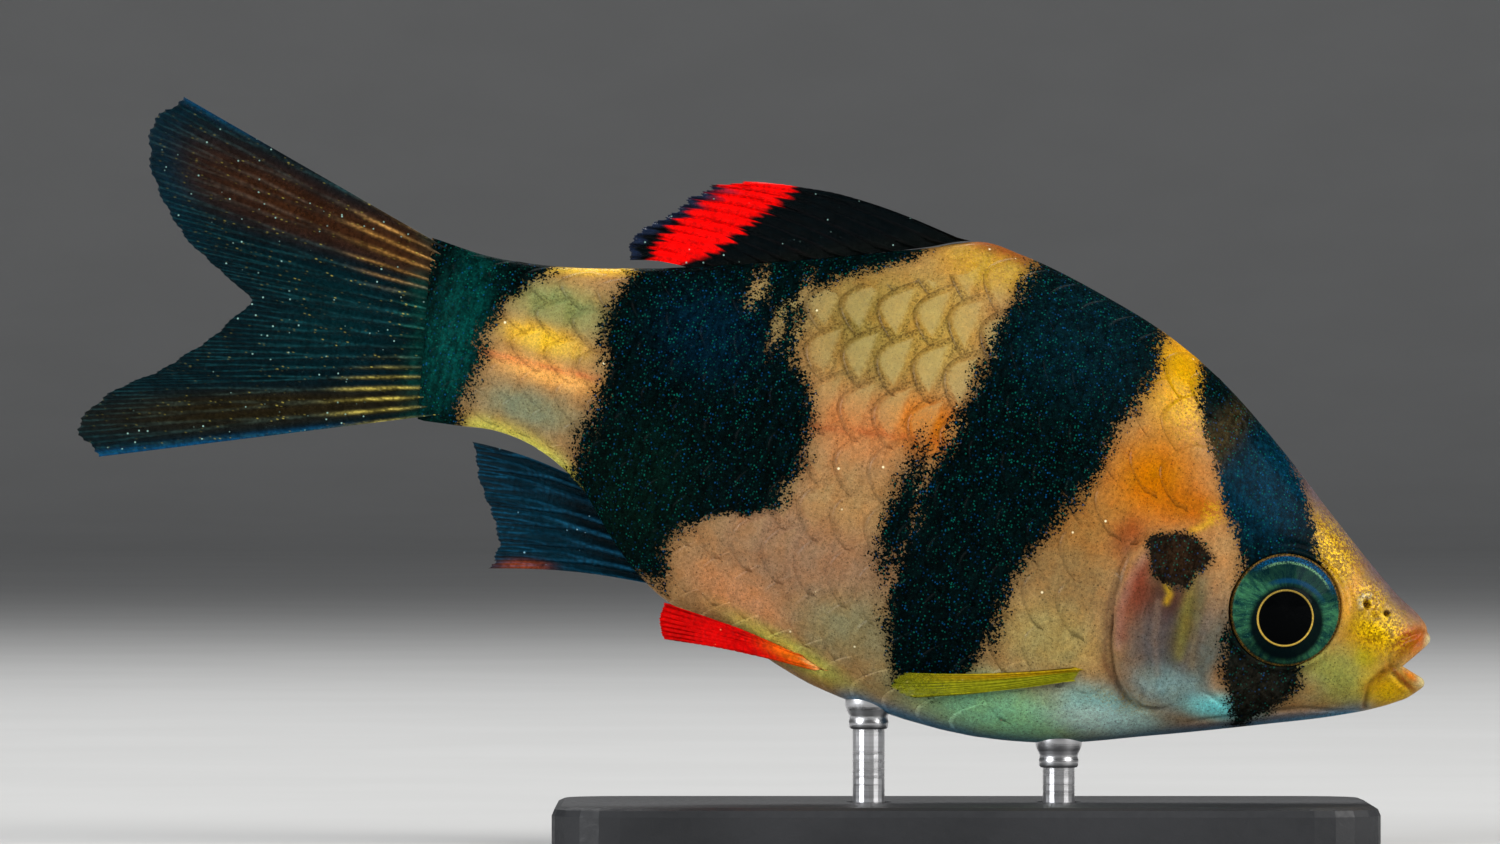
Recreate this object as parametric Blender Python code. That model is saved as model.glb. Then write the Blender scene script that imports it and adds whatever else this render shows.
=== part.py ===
# A life-size tiger barb, as a museum would show it: still, swimming nose down, on a small display stand.
# The fish is modelled level in its own frame, with its snout at the origin, +X ahead of it and +Z above
# its back. An empty then tips it nose down and sets it over the stand. Sizes are in millimetres, and MM
# makes them metres.

import math
import random

import bmesh
import bpy
import numpy as np
from mathutils import Matrix, Vector

MM = 0.001

# The whole fish
STANDARD_LENGTH = 46.0  # from the snout to the root of the tail fin
NOSE_DOWN = math.radians(17.0)
GAP = 0.3  # what touching pieces keep between them

# The body's outline and width, at distances back from the snout
BACK = [
    (-0.3, -0.95), (0.0, 0.5), (0.35, 1.15), (0.8, 1.52), (1.9, 2.08), (3.0, 2.76), (5.3, 4.3),
    (8.8, 6.7), (12.2, 8.7), (15.3, 10.0), (19.3, 11.0), (23.2, 11.6), (25.0, 11.65), (27.0, 10.75),
    (30.0, 9.4), (33.2, 8.0), (38.0, 6.1), (41.4, 5.1), (44.0, 4.7), (46.0, 4.75),
]
BELLY = [
    (-0.3, -1.5), (0.0, -1.85), (0.6, -2.3), (1.4, -2.85), (2.9, -3.65), (6.1, -5.1), (10.2, -6.9),
    (14.2, -8.55), (17.0, -9.2), (21.0, -9.4), (24.5, -9.15), (28.6, -8.1), (33.0, -7.15),
    (35.3, -5.75), (37.5, -4.0), (39.6, -2.95), (42.5, -2.55), (44.2, -2.8), (46.0, -3.05),
]
HALF_WIDTH = [
    (-0.3, 0.35), (0.0, 0.75), (0.5, 1.15), (1.2, 1.5), (2.5, 1.95), (4.5, 2.5), (6.5, 2.9),
    (9.0, 3.3), (12.0, 3.75), (16.0, 4.1), (20.0, 4.05), (24.0, 3.7), (28.0, 3.2), (32.0, 2.55),
    (36.0, 1.95), (40.0, 1.45), (43.0, 1.1), (46.0, 0.6),
]
WIDEST = [(0.0, 0.5), (6.0, 0.46), (20.0, 0.44), (46.0, 0.5)]  # height of the widest place, as a share
BACK_SHARPNESS = [(0.0, 0.9), (8.0, 0.92), (16.0, 1.15), (25.0, 1.35), (36.0, 1.15), (46.0, 1.0)]
BELLY_SHARPNESS = [(0.0, 0.9), (8.0, 1.0), (18.0, 0.9), (30.0, 1.0), (46.0, 1.0)]
RING_POINTS = 40
RING_PLACES = (
    [-0.3, -0.18, 0.0, 0.2, 0.45, 0.75, 1.1, 1.5, 1.95, 2.45],
    [3.05 + 0.75 * n for n in range(15)],
    [14.4 + 1.58 * n for n in range(21)],
)
TAIL_SLANT = [(0.0, 0.0), (37.0, 0.0), (41.0, 0.08), (46.0, 0.22)]  # the tail's root leans back at its top
TAIL_MIDDLE = 0.85

# The mouth, open by nearly a right angle
MOUTH_CORNER = (0.95, -0.83)
UPPER_LIP_TIP = (0.36, 0.58)
LOWER_LIP_TIP = (0.0, -1.32)
LIP_RADIUS = 0.34
LIP_HALF_WIDTH = 1.22
MOUTH_DEPTH = 1.7
MOUTH_HALF_WIDTH = 0.8
MOUTH_HALF_HEIGHT = 0.5
MOUTH_OPENING = [MOUTH_CORNER, (0.12, 0.84), (-1.5, 0.84), (-1.5, -1.3), (-0.36, -1.3)]  # seen from the side
LIP_POINTS = 15
LIP_BLUNTNESS = 0.8  # below 1, the lips run straighter across the front
TUBE_END = 0.62  # how thick a lip is at its corners, as a share of its middle
JAW_CUT = [(-0.6, 0.08), MOUTH_CORNER, (2.15, -2.0), (1.85, -3.6)]  # round the lower jaw's rear edge

# The eye
EYE_PLACE = (6.45, 0.05)
EYE_RADIUS = 2.27
EYE_BULGE = 0.6
EYE_DEPTH = 1.7
EYE_SINK = 0.3  # how far its rim lies in from the cheek
EYE_TURN = math.radians(10.0)  # towards the snout
RIM_RADIUS = 0.22
RIM_SPACE = 0.08  # how far the welt lies out from the socket's edge

# The nostrils: place, and radius of each opening
NOSTRILS = [((3.0, 1.1), 0.2), ((3.62, 1.45), 0.3)]
NOSTRIL_RIM = 0.13
PIT_STRETCH = 1.6  # how much deeper than wide a nostril is cut

# The gill cover: its middle, and its outline as angles from straight back, upward, and distances
COVER_MIDDLE = (11.4, -1.9)
COVER_OUTLINE = [
    (0, 2.3), (20, 2.6), (41, 3.3), (62, 3.9), (82, 4.05), (102, 3.5), (124, 2.5), (150, 1.85), (180, 1.75),
    (205, 2.15), (228, 3.1), (248, 3.75), (266, 3.85), (284, 3.3), (308, 2.55), (335, 2.2),
]
COVER_RAISED = 0.2
COVER_THICKNESS = 0.65
COVER_SPOKES = 28
COVER_SLOPE = 0.45  # the share of its rise that it loses by its edge
COVER_THINNING = 0.35  # the share of its thickness that it loses by its edge
RECESS_HEIGHT = 1.6  # how far the cutter for its recess stands out

# Where the flesh is parted
NAPE_CUT = [(10.4, 9.5), (12.6, -9.0)]
TAIL_CUT = [(39.2, 7.0), (38.4, -4.5)]
CUT_HALF_DEPTH = 8.0

# Fins: where each is rooted, and the line that its rays' tips lie along
DORSAL_ROOT = (25.2, 35.9)
DORSAL_MARGIN = [(35.1, 11.1), (36.3, 10.45), (37.7, 8.7), (38.9, 7.1), (38.6, 6.35)]
ANAL_ROOT = (33.2, 37.4)
ANAL_MARGIN = [(40.7, -8.45), (40.5, -7.4), (41.3, -6.0), (42.2, -4.7), (42.9, -3.45)]
TAIL_ROOT = (-3.0, 4.7)  # heights, where the others are distances back
TAIL_UPPER_MARGIN = [(59.5, 7.5), (60.6, 6.0), (60.1, 4.2), (58.6, 2.3), (56.5, 0.95), (54.1, -0.05)]
TAIL_LOWER_MARGIN = [(58.4, -8.75), (59.8, -7.9), (59.2, -6.4), (57.0, -4.3), (55.2, -2.2), (54.0, -0.45)]
PELVIC_ROOT = (25.3, 26.4)
PELVIC_MARGIN = [(32.35, -9.1), (32.8, -8.4), (32.8, -7.6)]
PECTORAL_ROOT = [(14.55, -4.75), (14.75, -5.75)]
PECTORAL_MARGIN = [(21.9, -7.45), (22.35, -8.0), (21.8, -8.4), (20.3, -8.0)]
PECTORAL_LINE = [(14.65, -5.25), (21.8, -8.0)]  # along its middle
RAY_THICKNESS = 0.78
MEMBRANE_THICKNESS = 0.5
TIP_THICKNESS = 0.3
TIP_TAPER = 0.2  # the outer share of a fin that thins towards its edge
EDGE_DIP = 0.12  # how far the membrane's edge draws in between two rays
DORSAL_SPACE = 0.95 * GAP  # how far the back fin's root stays off the back
ANAL_SPACE = 1.9 * GAP
PELVIC_SPACE = 1.6 * GAP
TAIL_SPACE = 1.1 * GAP
LOBE_SPACE = 1.2 * GAP  # between the tail fin's two lobes
TAIL_BOW = 0.012
TAIL_SWAY = 0.3  # how far the lobes swing to the sides
PELVIC_ROOT_Y = 1.5  # how far the belly fins' roots lie from the middle
PELVIC_SPLAY = 0.5  # how much further their tips lie
PELVIC_TILT = 0.35
PECTORAL_LIFT = 0.85  # how far off the flank the breast fins lie
PECTORAL_TILT = 0.4

# The fleshy lobe in front of each breast fin's root
LOBE_PLACE = (13.9, -5.2)
LOBE_SIZE = (1.0, 0.95, 0.7)  # half its length, half its height, how far it stands out
LOBE_REAR = 0.35  # where it is cut off square, as a share of half its length
LOBE_LEAN = 0.25

# The stand
BASE_LENGTH = 36.0
BASE_WIDTH = 20.0
BASE_THICKNESS = 2.0
BASE_CORNER = 3.0
BASE_EDGE = 0.4
ROD_RADIUS = 0.7
ROD_PLACES = {"stand_rod_front": 14.3, "stand_rod_rear": 22.8}  # back from the snout, along the belly
BELLY_CLEARANCE = 2.6
SOCKET_DEPTH = 1.2
ROD_SPARE = 2.0  # how far a rod runs into the belly before it is cut to fit

COLOURS = {
    "head": (0.62, 0.45, 0.16), "lower_jaw": (0.75, 0.48, 0.08), "gill_cover": (0.58, 0.38, 0.3),
    "eye": (0.01, 0.05, 0.05), "trunk": (0.6, 0.42, 0.22), "tail_stem": (0.55, 0.47, 0.25),
    "dorsal_fin": (0.25, 0.02, 0.02), "anal_fin": (0.01, 0.06, 0.09), "tail_fin": (0.02, 0.07, 0.08),
    "pelvic_fin": (0.8, 0.02, 0.01), "pectoral_fin": (0.6, 0.42, 0.06),
    "stand_base": (0.03, 0.03, 0.035), "stand_rod": (0.6, 0.6, 0.62),
}


def curve_through(points):
    """A smooth function through (position, value) points."""
    places, values = np.array(points, float).T
    slopes = np.gradient(values, places)

    def value(place):
        place = np.clip(place, places[0], places[-1])
        left = np.clip(np.searchsorted(places, place) - 1, 0, len(places) - 2)
        step = places[left + 1] - places[left]
        t = (place - places[left]) / step
        ends = values[left] * (1 + 2 * t) * (1 - t) ** 2 + values[left + 1] * t * t * (3 - 2 * t)
        return ends + step * t * (1 - t) * (slopes[left] * (1 - t) - slopes[left + 1] * t)

    return value


back = curve_through(BACK)
belly = curve_through(BELLY)
half_width = curve_through(HALF_WIDTH)
widest = curve_through(WIDEST)
back_sharpness = curve_through(BACK_SHARPNESS)
belly_sharpness = curve_through(BELLY_SHARPNESS)
tail_slant = curve_through(TAIL_SLANT)


def section_point(s, angle, grown=0.0):
    """The body's surface at distance s back from the snout. The angle runs from its top to its left."""
    middle = belly(s) + widest(s) * (back(s) - belly(s))
    above = math.cos(angle) > 0
    reach = (back(s) - middle if above else middle - belly(s)) + grown
    sharpness = back_sharpness(s) if above else belly_sharpness(s)
    across = math.sin(angle)
    y = math.copysign((half_width(s) + grown) * abs(across) ** sharpness, across)
    z = middle + reach * math.cos(angle)
    return Vector((-s - tail_slant(s) * (z - TAIL_MIDDLE), y, z))


def side_at(s, z):
    """How far the left side's surface lies from the middle, at distance s and height z."""
    middle = belly(s) + widest(s) * (back(s) - belly(s))
    reach = back(s) - middle if z > middle else middle - belly(s)
    sharpness = back_sharpness(s) if z > middle else belly_sharpness(s)
    level = min(abs(z - middle) / reach, 1.0)
    return half_width(s) * (1 - level * level) ** (sharpness / 2)


def under_at(s, y):
    """The height of the belly's surface at distance s and y from the middle."""
    middle = belly(s) + widest(s) * (back(s) - belly(s))
    across = abs(y) / half_width(s)
    return middle - (middle - belly(s)) * math.sqrt(1 - across ** (2 / belly_sharpness(s)))


def side_normal(s, z):
    """The left side's outward direction at distance s and height z."""
    step = 0.05
    along = (side_at(s + step, z) - side_at(s - step, z)) / (2 * step)
    upward = (side_at(s, z + step) - side_at(s, z - step)) / (2 * step)
    return Vector((along, 1.0, -upward)).normalized()


def object_from(bm, name):
    """A mesh object in metres from a bmesh in millimetres."""
    bm.normal_update()
    bmesh.ops.recalc_face_normals(bm, faces=bm.faces)
    bm.transform(Matrix.Scale(MM, 4))
    mesh = bpy.data.meshes.new(name)
    bm.to_mesh(mesh)
    bm.free()
    made = bpy.data.objects.new(name, mesh)
    bpy.context.scene.collection.objects.link(made)
    return made


def loft(rings, closed_ends=True):
    """A bmesh skinned over rings of points, with flat ends."""
    bm = bmesh.new()
    rows = [[bm.verts.new(point) for point in ring] for ring in rings]
    count = len(rows[0])
    for first, second in zip(rows, rows[1:]):
        for n in range(count):
            after = (n + 1) % count
            bm.faces.new((first[n], first[after], second[after], second[n]))
    if closed_ends:
        bm.faces.new(rows[0])
        bm.faces.new(reversed(rows[-1]))
    return bm


def evaluated_mesh(made):
    bpy.context.view_layer.update()
    graph = bpy.context.evaluated_depsgraph_get()
    return bpy.data.meshes.new_from_object(made.evaluated_get(graph))


def combine(target, others, operation):
    """Joins closed meshes to the target, or cuts them from it, and removes them."""
    group = bpy.data.collections.new("Pieces")
    bpy.context.scene.collection.children.link(group)
    for other in others:
        bpy.context.scene.collection.objects.unlink(other)
        group.objects.link(other)
    modifier = target.modifiers.new("Combine", "BOOLEAN")
    modifier.operation = operation
    modifier.operand_type = "COLLECTION"
    modifier.collection = group
    modifier.solver = "EXACT"
    mesh = evaluated_mesh(target)
    target.modifiers.clear()
    target.data = mesh
    for other in others:
        bpy.data.objects.remove(other)
    bpy.data.collections.remove(group)


def shells_of(made):
    """The closed surfaces of an object as bmeshes in metres, largest first."""
    bm = bmesh.new()
    bm.from_mesh(made.data)
    bmesh.ops.remove_doubles(bm, verts=bm.verts, dist=0.001 * MM)
    left, shells = set(bm.verts), []
    while left:
        reached, edge = set(), [left.pop()]
        while edge:
            vertex = edge.pop()
            reached.add(vertex)
            for link in vertex.link_edges:
                other = link.other_vert(vertex)
                if other in left:
                    left.remove(other)
                    edge.append(other)
        shells.append({vertex.index for vertex in reached})
    bm.free()
    made_shells = []
    for shell in shells:
        part = bmesh.new()
        part.from_mesh(made.data)
        bmesh.ops.remove_doubles(part, verts=part.verts, dist=0.001 * MM)
        part.verts.ensure_lookup_table()
        outside = [vertex for vertex in part.verts if vertex.index not in shell]
        bmesh.ops.delete(part, geom=outside, context="VERTS")
        made_shells.append(part)
    return sorted(made_shells, key=lambda part: -abs(part.calc_volume()))


def keep_largest(made):
    shells = shells_of(made)
    shells[0].to_mesh(made.data)
    for shell in shells:
        shell.free()


def split_shells(made, names):
    """Parts an object into its largest shells, named from the snout backwards."""
    shells = shells_of(made)
    kept = sorted(shells[: len(names)], key=lambda part: -max(v.co.x for v in part.verts))
    parts = {}
    for name, shell in zip(names, kept):
        mesh = bpy.data.meshes.new(name)
        shell.to_mesh(mesh)
        parts[name] = bpy.data.objects.new(name, mesh)
        bpy.context.scene.collection.objects.link(parts[name])
    for shell in shells:
        shell.free()
    bpy.data.objects.remove(made)
    return parts


def body_loft(name, grown=0.0):
    """The whole body without its fins, from the lips to the root of the tail fin."""
    places = [place for group in RING_PLACES for place in group]
    angles = [2 * math.pi * n / RING_POINTS for n in range(RING_POINTS)]
    rings = [[section_point(s, angle, grown) for angle in angles] for s in places]
    return object_from(loft(rings), name)


def tube_loop(path, radius, sides=8):
    """A closed bmesh tube along a path of points, with rounded ends."""
    rings = []
    for n, point in enumerate(path):
        ahead = (path[min(n + 1, len(path) - 1)] - path[max(n - 1, 0)]).normalized()
        across = ahead.cross(Vector((0, 0, 1))).normalized()
        upward = across.cross(ahead)
        share = n / (len(path) - 1)
        thickness = radius * (TUBE_END + (1 - TUBE_END) * math.sin(math.pi * share))
        turns = [2 * math.pi * k / sides for k in range(sides)]
        rings.append([point + thickness * (math.cos(a) * across + math.sin(a) * upward) for a in turns])
    return loft(rings)


def lip(name, tip):
    """A rounded lip round the front of one jaw, from corner to corner of the mouth."""
    path = []
    for n in range(LIP_POINTS):
        turn = math.pi * (n / (LIP_POINTS - 1) - 0.5)
        forward = math.cos(turn) ** LIP_BLUNTNESS
        s = MOUTH_CORNER[0] + (tip[0] - MOUTH_CORNER[0]) * forward
        z = MOUTH_CORNER[1] + (tip[1] - MOUTH_CORNER[1]) * forward
        path.append(Vector((-s, LIP_HALF_WIDTH * math.sin(turn), z)))
    return object_from(tube_loop(path, LIP_RADIUS), name)


def prism(outline, name):
    """A flat (distance back, height) outline made solid on both sides of the middle plane."""
    rings = [[Vector((-s, y, z)) for s, z in outline] for y in (-CUT_HALF_DEPTH, CUT_HALF_DEPTH)]
    return object_from(loft(rings), name)


def parting(name, line):
    """A thin sheet across the body, for a parting cut along a line of (distance back, height) points."""
    points = [Vector((-s, 0, z)) for s, z in line]
    near, far = [], []
    for n, point in enumerate(points):
        before = (point - points[n - 1]).normalized() if n else None
        after = (points[n + 1] - point).normalized() if n + 1 < len(points) else None
        along = ((before or after) + (after or before)).normalized()
        across = Vector((along.z, 0, -along.x)) * GAP / 2 / max(along.dot(before or along), 0.5)
        near.append(point - across)
        far.append(point + across)
    return prism([(-corner.x, corner.z) for corner in near + far[::-1]], name)


def eye_matrix(side):
    """Turns a shape that faces +Y into the eye's place on one side, +1 left or -1 right."""
    s, z = EYE_PLACE
    place = Vector((-s, side * (side_at(s, z) - EYE_SINK), z))
    turn = Matrix.Rotation(-side * EYE_TURN, 4, "Z")
    return Matrix.Translation(place) @ turn @ Matrix.Diagonal((1, side, 1, 1))


def eyeball(name, side, grown=0.0, segments=24):
    """A flattened ball, shallow outside its rim and deeper inside."""
    bm = bmesh.new()
    bmesh.ops.create_uvsphere(bm, u_segments=segments, v_segments=segments // 2, radius=1.0)
    bm.transform(Matrix.Rotation(math.pi / 2, 4, "X"))
    for vertex in bm.verts:
        vertex.co.y *= (EYE_BULGE if vertex.co.y > 0 else EYE_DEPTH) + grown
        vertex.co.x *= EYE_RADIUS + grown
        vertex.co.z *= EYE_RADIUS + grown
    bm.transform(eye_matrix(side))
    return object_from(bm, name)


def ring_on_side(name, place, radius, thickness, side, segments, sides=6):
    """A round welt laid on the body's side round a place."""
    rings = []
    for n in range(segments):
        turn = 2 * math.pi * n / segments
        outward = Vector((math.cos(turn), 0, math.sin(turn)))
        middle = Vector((-place[0], 0, place[1])) + radius * outward
        ring = []
        for k in range(sides):
            round_it = 2 * math.pi * k / sides
            point = middle + thickness * (math.cos(round_it) * outward)
            proud = side_at(-point.x, point.z) + thickness * (math.sin(round_it) - 0.25)
            ring.append(Vector((point.x, side * proud, point.z)))
        rings.append(ring)
    bm = loft(rings, closed_ends=False)
    bm.verts.ensure_lookup_table()
    first, last = bm.verts[:sides], bm.verts[-sides:]
    for n in range(sides):
        after = (n + 1) % sides
        bm.faces.new((last[n], last[after], first[after], first[n]))
    return object_from(bm, name)


def pit_on_side(name, place, radius, side):
    """A small ball on the surface that cuts a nostril's opening."""
    bm = bmesh.new()
    bmesh.ops.create_uvsphere(bm, u_segments=10, v_segments=6, radius=radius)
    where = Vector((-place[0], side * side_at(*place), place[1]))
    bm.transform(Matrix.Translation(where) @ Matrix.Diagonal((1, PIT_STRETCH, 1, 1)))
    return object_from(bm, name)


def fin_lobe(side):
    """A low rounded lobe on the flank, cut off square behind, that a breast fin grows from."""
    bm = bmesh.new()
    bmesh.ops.create_uvsphere(bm, u_segments=12, v_segments=8, radius=1.0)
    s, z = LOBE_PLACE
    long, high, proud = LOBE_SIZE
    for vertex in bm.verts:
        vertex.co = Vector((max(vertex.co.x, -LOBE_REAR) * long, vertex.co.y * proud, vertex.co.z * high))
    bmesh.ops.remove_doubles(bm, verts=bm.verts, dist=0.0001)
    bm.transform(Matrix.Translation((-s, side * side_at(s, z), z)) @ Matrix.Rotation(LOBE_LEAN, 4, "Y"))
    return object_from(bm, "fin_lobe")


cover_reach = curve_through([(a - 360, r) for a, r in COVER_OUTLINE] + COVER_OUTLINE
                            + [(a + 360, r) for a, r in COVER_OUTLINE])


def gill_cover(name, side, grown=0.0, raised=COVER_RAISED, thickness=COVER_THICKNESS):
    """A curved plate that follows the body's side, domed outside and thinner at its edge."""
    shares = [1.0, 0.86, 0.6, 0.3]

    def point(share, spoke, outside):
        angle = 360 * spoke / COVER_SPOKES
        reach = share * (cover_reach(angle) + grown)
        s = COVER_MIDDLE[0] + reach * math.cos(math.radians(angle))
        z = COVER_MIDDLE[1] + reach * math.sin(math.radians(angle))
        dome = raised * (1 - COVER_SLOPE * share**4)
        height = dome if outside else dome - thickness * (1 - COVER_THINNING * share**4)
        place = Vector((-s, side_at(s, z), z)) + height * side_normal(s, z)
        return Vector((place.x, side * place.y, place.z))

    bm = bmesh.new()
    faces_of = {}
    for outside in (True, False):
        rows = [[bm.verts.new(point(share, n, outside)) for n in range(COVER_SPOKES)] for share in shares]
        middle = bm.verts.new(point(0.0, 0, outside))
        for outer, inner in zip(rows, rows[1:]):
            for n in range(COVER_SPOKES):
                after = (n + 1) % COVER_SPOKES
                bm.faces.new((outer[n], outer[after], inner[after]))
                bm.faces.new((outer[n], inner[after], inner[n]))
        for n in range(COVER_SPOKES):
            bm.faces.new((rows[-1][n], rows[-1][(n + 1) % COVER_SPOKES], middle))
        faces_of[outside] = rows[0]
    for n in range(COVER_SPOKES):
        after = (n + 1) % COVER_SPOKES
        near, far = faces_of[True], faces_of[False]
        bm.faces.new((near[n], near[after], far[after]))
        bm.faces.new((near[n], far[after], far[n]))
    return object_from(bm, name)


def build_flesh():
    """The head, lower jaw, trunk and tail stem: one body with its hollows cut, then parted by thin cuts."""
    body = body_loft("body")
    combine(body, [prism(MOUTH_OPENING, "mouth")], "DIFFERENCE")
    raised = [lip("upper_lip", UPPER_LIP_TIP), lip("lower_lip", LOWER_LIP_TIP)]
    for side in (1, -1):
        raised.append(fin_lobe(side))
        raised.append(ring_on_side("eye_rim", EYE_PLACE, EYE_RADIUS + GAP + RIM_SPACE, RIM_RADIUS, side, 28))
        for place, radius in NOSTRILS:
            raised.append(ring_on_side("nostril_rim", place, radius + 0.05, NOSTRIL_RIM, side, 10, 5))
    combine(body, raised, "UNION")
    keep_largest(body)

    throat = bmesh.new()
    bmesh.ops.create_uvsphere(throat, u_segments=16, v_segments=8, radius=1.0)
    bmesh.ops.scale(throat, vec=(MOUTH_DEPTH, MOUTH_HALF_WIDTH, MOUTH_HALF_HEIGHT), verts=throat.verts)
    throat.transform(Matrix.Translation((-MOUTH_CORNER[0], 0, MOUTH_CORNER[1] + 0.1)))
    cutters = [
        object_from(throat, "throat"),
        parting("jaw_cut", JAW_CUT),
        parting("nape_cut", NAPE_CUT),
        parting("tail_cut", TAIL_CUT),
    ]
    for side in (1, -1):
        cutters.append(eyeball("eye_socket", side, GAP))
        recess_depth = RECESS_HEIGHT + COVER_THICKNESS - COVER_RAISED + GAP
        cutters.append(gill_cover("cover_recess", side, GAP, RECESS_HEIGHT, recess_depth))
        cutters += [pit_on_side("nostril", place, radius, side) for place, radius in NOSTRILS]
    combine(body, cutters, "DIFFERENCE")
    return split_shells(body, ["lower_jaw", "head", "trunk", "tail_stem"])


def flat_place(point, share):
    """Puts a fin's (distance back, height) point in the fish's middle plane."""
    return Vector((-point.x, 0, point.y))


def fin(name, roots, tips, bow=0.0, rows=7, place=flat_place, facing=Vector((0, 1, 0)), seed=1):
    """A fin with its rays raised as ridges on both faces. Roots and tips are (distance back, height) points,
    one for each ray. The bow bends the rays, and both faces have their triangles alike."""
    chance = random.Random(seed)
    columns = 2 * len(roots) - 1
    bm = bmesh.new()
    faces = {1: [], -1: []}
    for column in range(columns):
        on_ray = column % 2 == 0
        low, high = column // 2, (column + 1) // 2
        root = (Vector(roots[low]) + Vector(roots[high])) / 2
        tip = (Vector(tips[low]) + Vector(tips[high])) / 2
        reach = 1.0 if on_ray else 1 - EDGE_DIP / (tip - root).length
        across = Vector((root.y - tip.y, tip.x - root.x)) * bow
        ridge = chance.uniform(0.85, 1.0) * (RAY_THICKNESS - MEMBRANE_THICKNESS)
        lines = {1: [], -1: []}
        for row in range(rows + 1):
            share = reach * row / rows
            middle = place(root + (tip - root) * share + across * math.sin(math.pi * share), share)
            full = MEMBRANE_THICKNESS + (ridge * (1 - 0.35 * share) if on_ray else 0.0)
            taper = min((1 - row / rows) / TIP_TAPER, 1.0)
            half = (TIP_THICKNESS + (full - TIP_THICKNESS) * taper) / 2
            for side in lines:
                lines[side].append(bm.verts.new(middle + side * half * facing))
        for side in lines:
            faces[side].append(lines[side])
    for grid in faces.values():
        for left, right in zip(grid, grid[1:]):
            for row in range(rows):
                bm.faces.new((left[row], right[row], right[row + 1]))
                bm.faces.new((left[row], right[row + 1], left[row + 1]))
    near, far = (
        grid[0][:-1] + [line[-1] for line in grid[:-1]] + grid[-1][:0:-1] + [line[0] for line in grid[:0:-1]]
        for grid in faces.values()
    )
    for n in range(len(near)):
        after = (n + 1) % len(near)
        bm.faces.new((near[n], near[after], far[after]))
        bm.faces.new((near[n], far[after], far[n]))
    return object_from(bm, name)


def spread(start, end, count, easing=1.0):
    """Numbers from start to end, closer together at the start where easing is over 1."""
    return [start + (end - start) * (n / (count - 1)) ** easing for n in range(count)]


def points_along(outline, count, easing=1.0):
    """Points evenly spread along a smooth line through an outline's own points."""
    places = np.concatenate([[0.0], np.cumsum(np.linalg.norm(np.diff(outline, axis=0), axis=1))])
    horizontal = curve_through(list(zip(places, [p[0] for p in outline])))
    vertical = curve_through(list(zip(places, [p[1] for p in outline])))
    shares = spread(0.0, places[-1], count, easing)
    return [(float(horizontal(place)), float(vertical(place))) for place in shares]


def build_dorsal_fin():
    """The back fin, half folded: its rays lean back along the fish."""
    count = 12
    roots = [(s, float(back(s)) + DORSAL_SPACE) for s in spread(*DORSAL_ROOT, count)]
    tips = points_along(DORSAL_MARGIN, count)
    return fin("dorsal_fin", roots, tips, bow=0.05)


def build_anal_fin():
    count = 8
    roots = [(s, float(belly(s)) - ANAL_SPACE) for s in spread(*ANAL_ROOT, count)]
    tips = points_along(ANAL_MARGIN, count)
    return fin("anal_fin", roots, tips, bow=0.03, rows=6)


def build_tail_fin():
    """The forked tail fin, in two lobes that part along the middle."""
    count = 10

    def place(point, share):
        sway = TAIL_SWAY * math.sin(0.45 * point.y) * share**2
        return Vector((-point.x, sway, point.y))

    def root_at(z):
        return (STANDARD_LENGTH + TAIL_SPACE + TAIL_SLANT[-1][1] * (z - TAIL_MIDDLE), z)

    lowest, highest = TAIL_ROOT
    upper_roots = [root_at(z) for z in spread(highest, TAIL_MIDDLE + LOBE_SPACE / 2, count)]
    lower_roots = [root_at(z) for z in spread(lowest, TAIL_MIDDLE - LOBE_SPACE / 2, count)]
    upper_tips = points_along(TAIL_UPPER_MARGIN, count)
    lower_tips = points_along(TAIL_LOWER_MARGIN, count)
    upper = fin("tail_fin_upper_lobe", upper_roots, upper_tips, TAIL_BOW, place=place)
    lower = fin("tail_fin_lower_lobe", lower_roots, lower_tips, -TAIL_BOW, place=place)
    return upper, lower


def build_pelvic_fin(name, side):
    """A belly fin, half folded, that hangs beside the keel of the belly."""
    count = 7
    inner_y = PELVIC_ROOT_Y - RAY_THICKNESS / 2
    roots = [(s, under_at(s, inner_y) - PELVIC_SPACE) for s in spread(*PELVIC_ROOT, count)]
    tips = points_along(PELVIC_MARGIN, count)

    def place(point, share):
        y = PELVIC_ROOT_Y + PELVIC_SPLAY * share + PELVIC_TILT * share * (-8.0 - point.y)
        return Vector((-point.x, side * y, point.y))

    facing = Vector((PELVIC_SPLAY / 7, side, PELVIC_TILT / 2)).normalized()
    return fin(name, roots, tips, bow=0.02, rows=6, place=place, facing=facing)


def build_pectoral_fin(name, side):
    """A breast fin folded back along the flank, a little off it towards its tip."""
    count = 7
    roots = points_along(PECTORAL_ROOT, count)
    tips = points_along(PECTORAL_MARGIN, count)
    root, tip = (Vector(end) for end in PECTORAL_LINE)
    root_y = float(side_at(*root)) + PECTORAL_LIFT
    tip_y = float(side_at(*tip)) + PECTORAL_LIFT

    def place(point, share):
        middle = root.lerp(tip, share)
        y = root_y + (tip_y - root_y) * share**1.5 + PECTORAL_TILT * (point.y - middle.y)
        return Vector((-point.x, side * y, point.y))

    facing = Vector(((tip_y - root_y) / 7.5, side, -PECTORAL_TILT)).normalized()
    return fin(name, roots, tips, bow=-0.02, rows=6, place=place, facing=facing)


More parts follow.
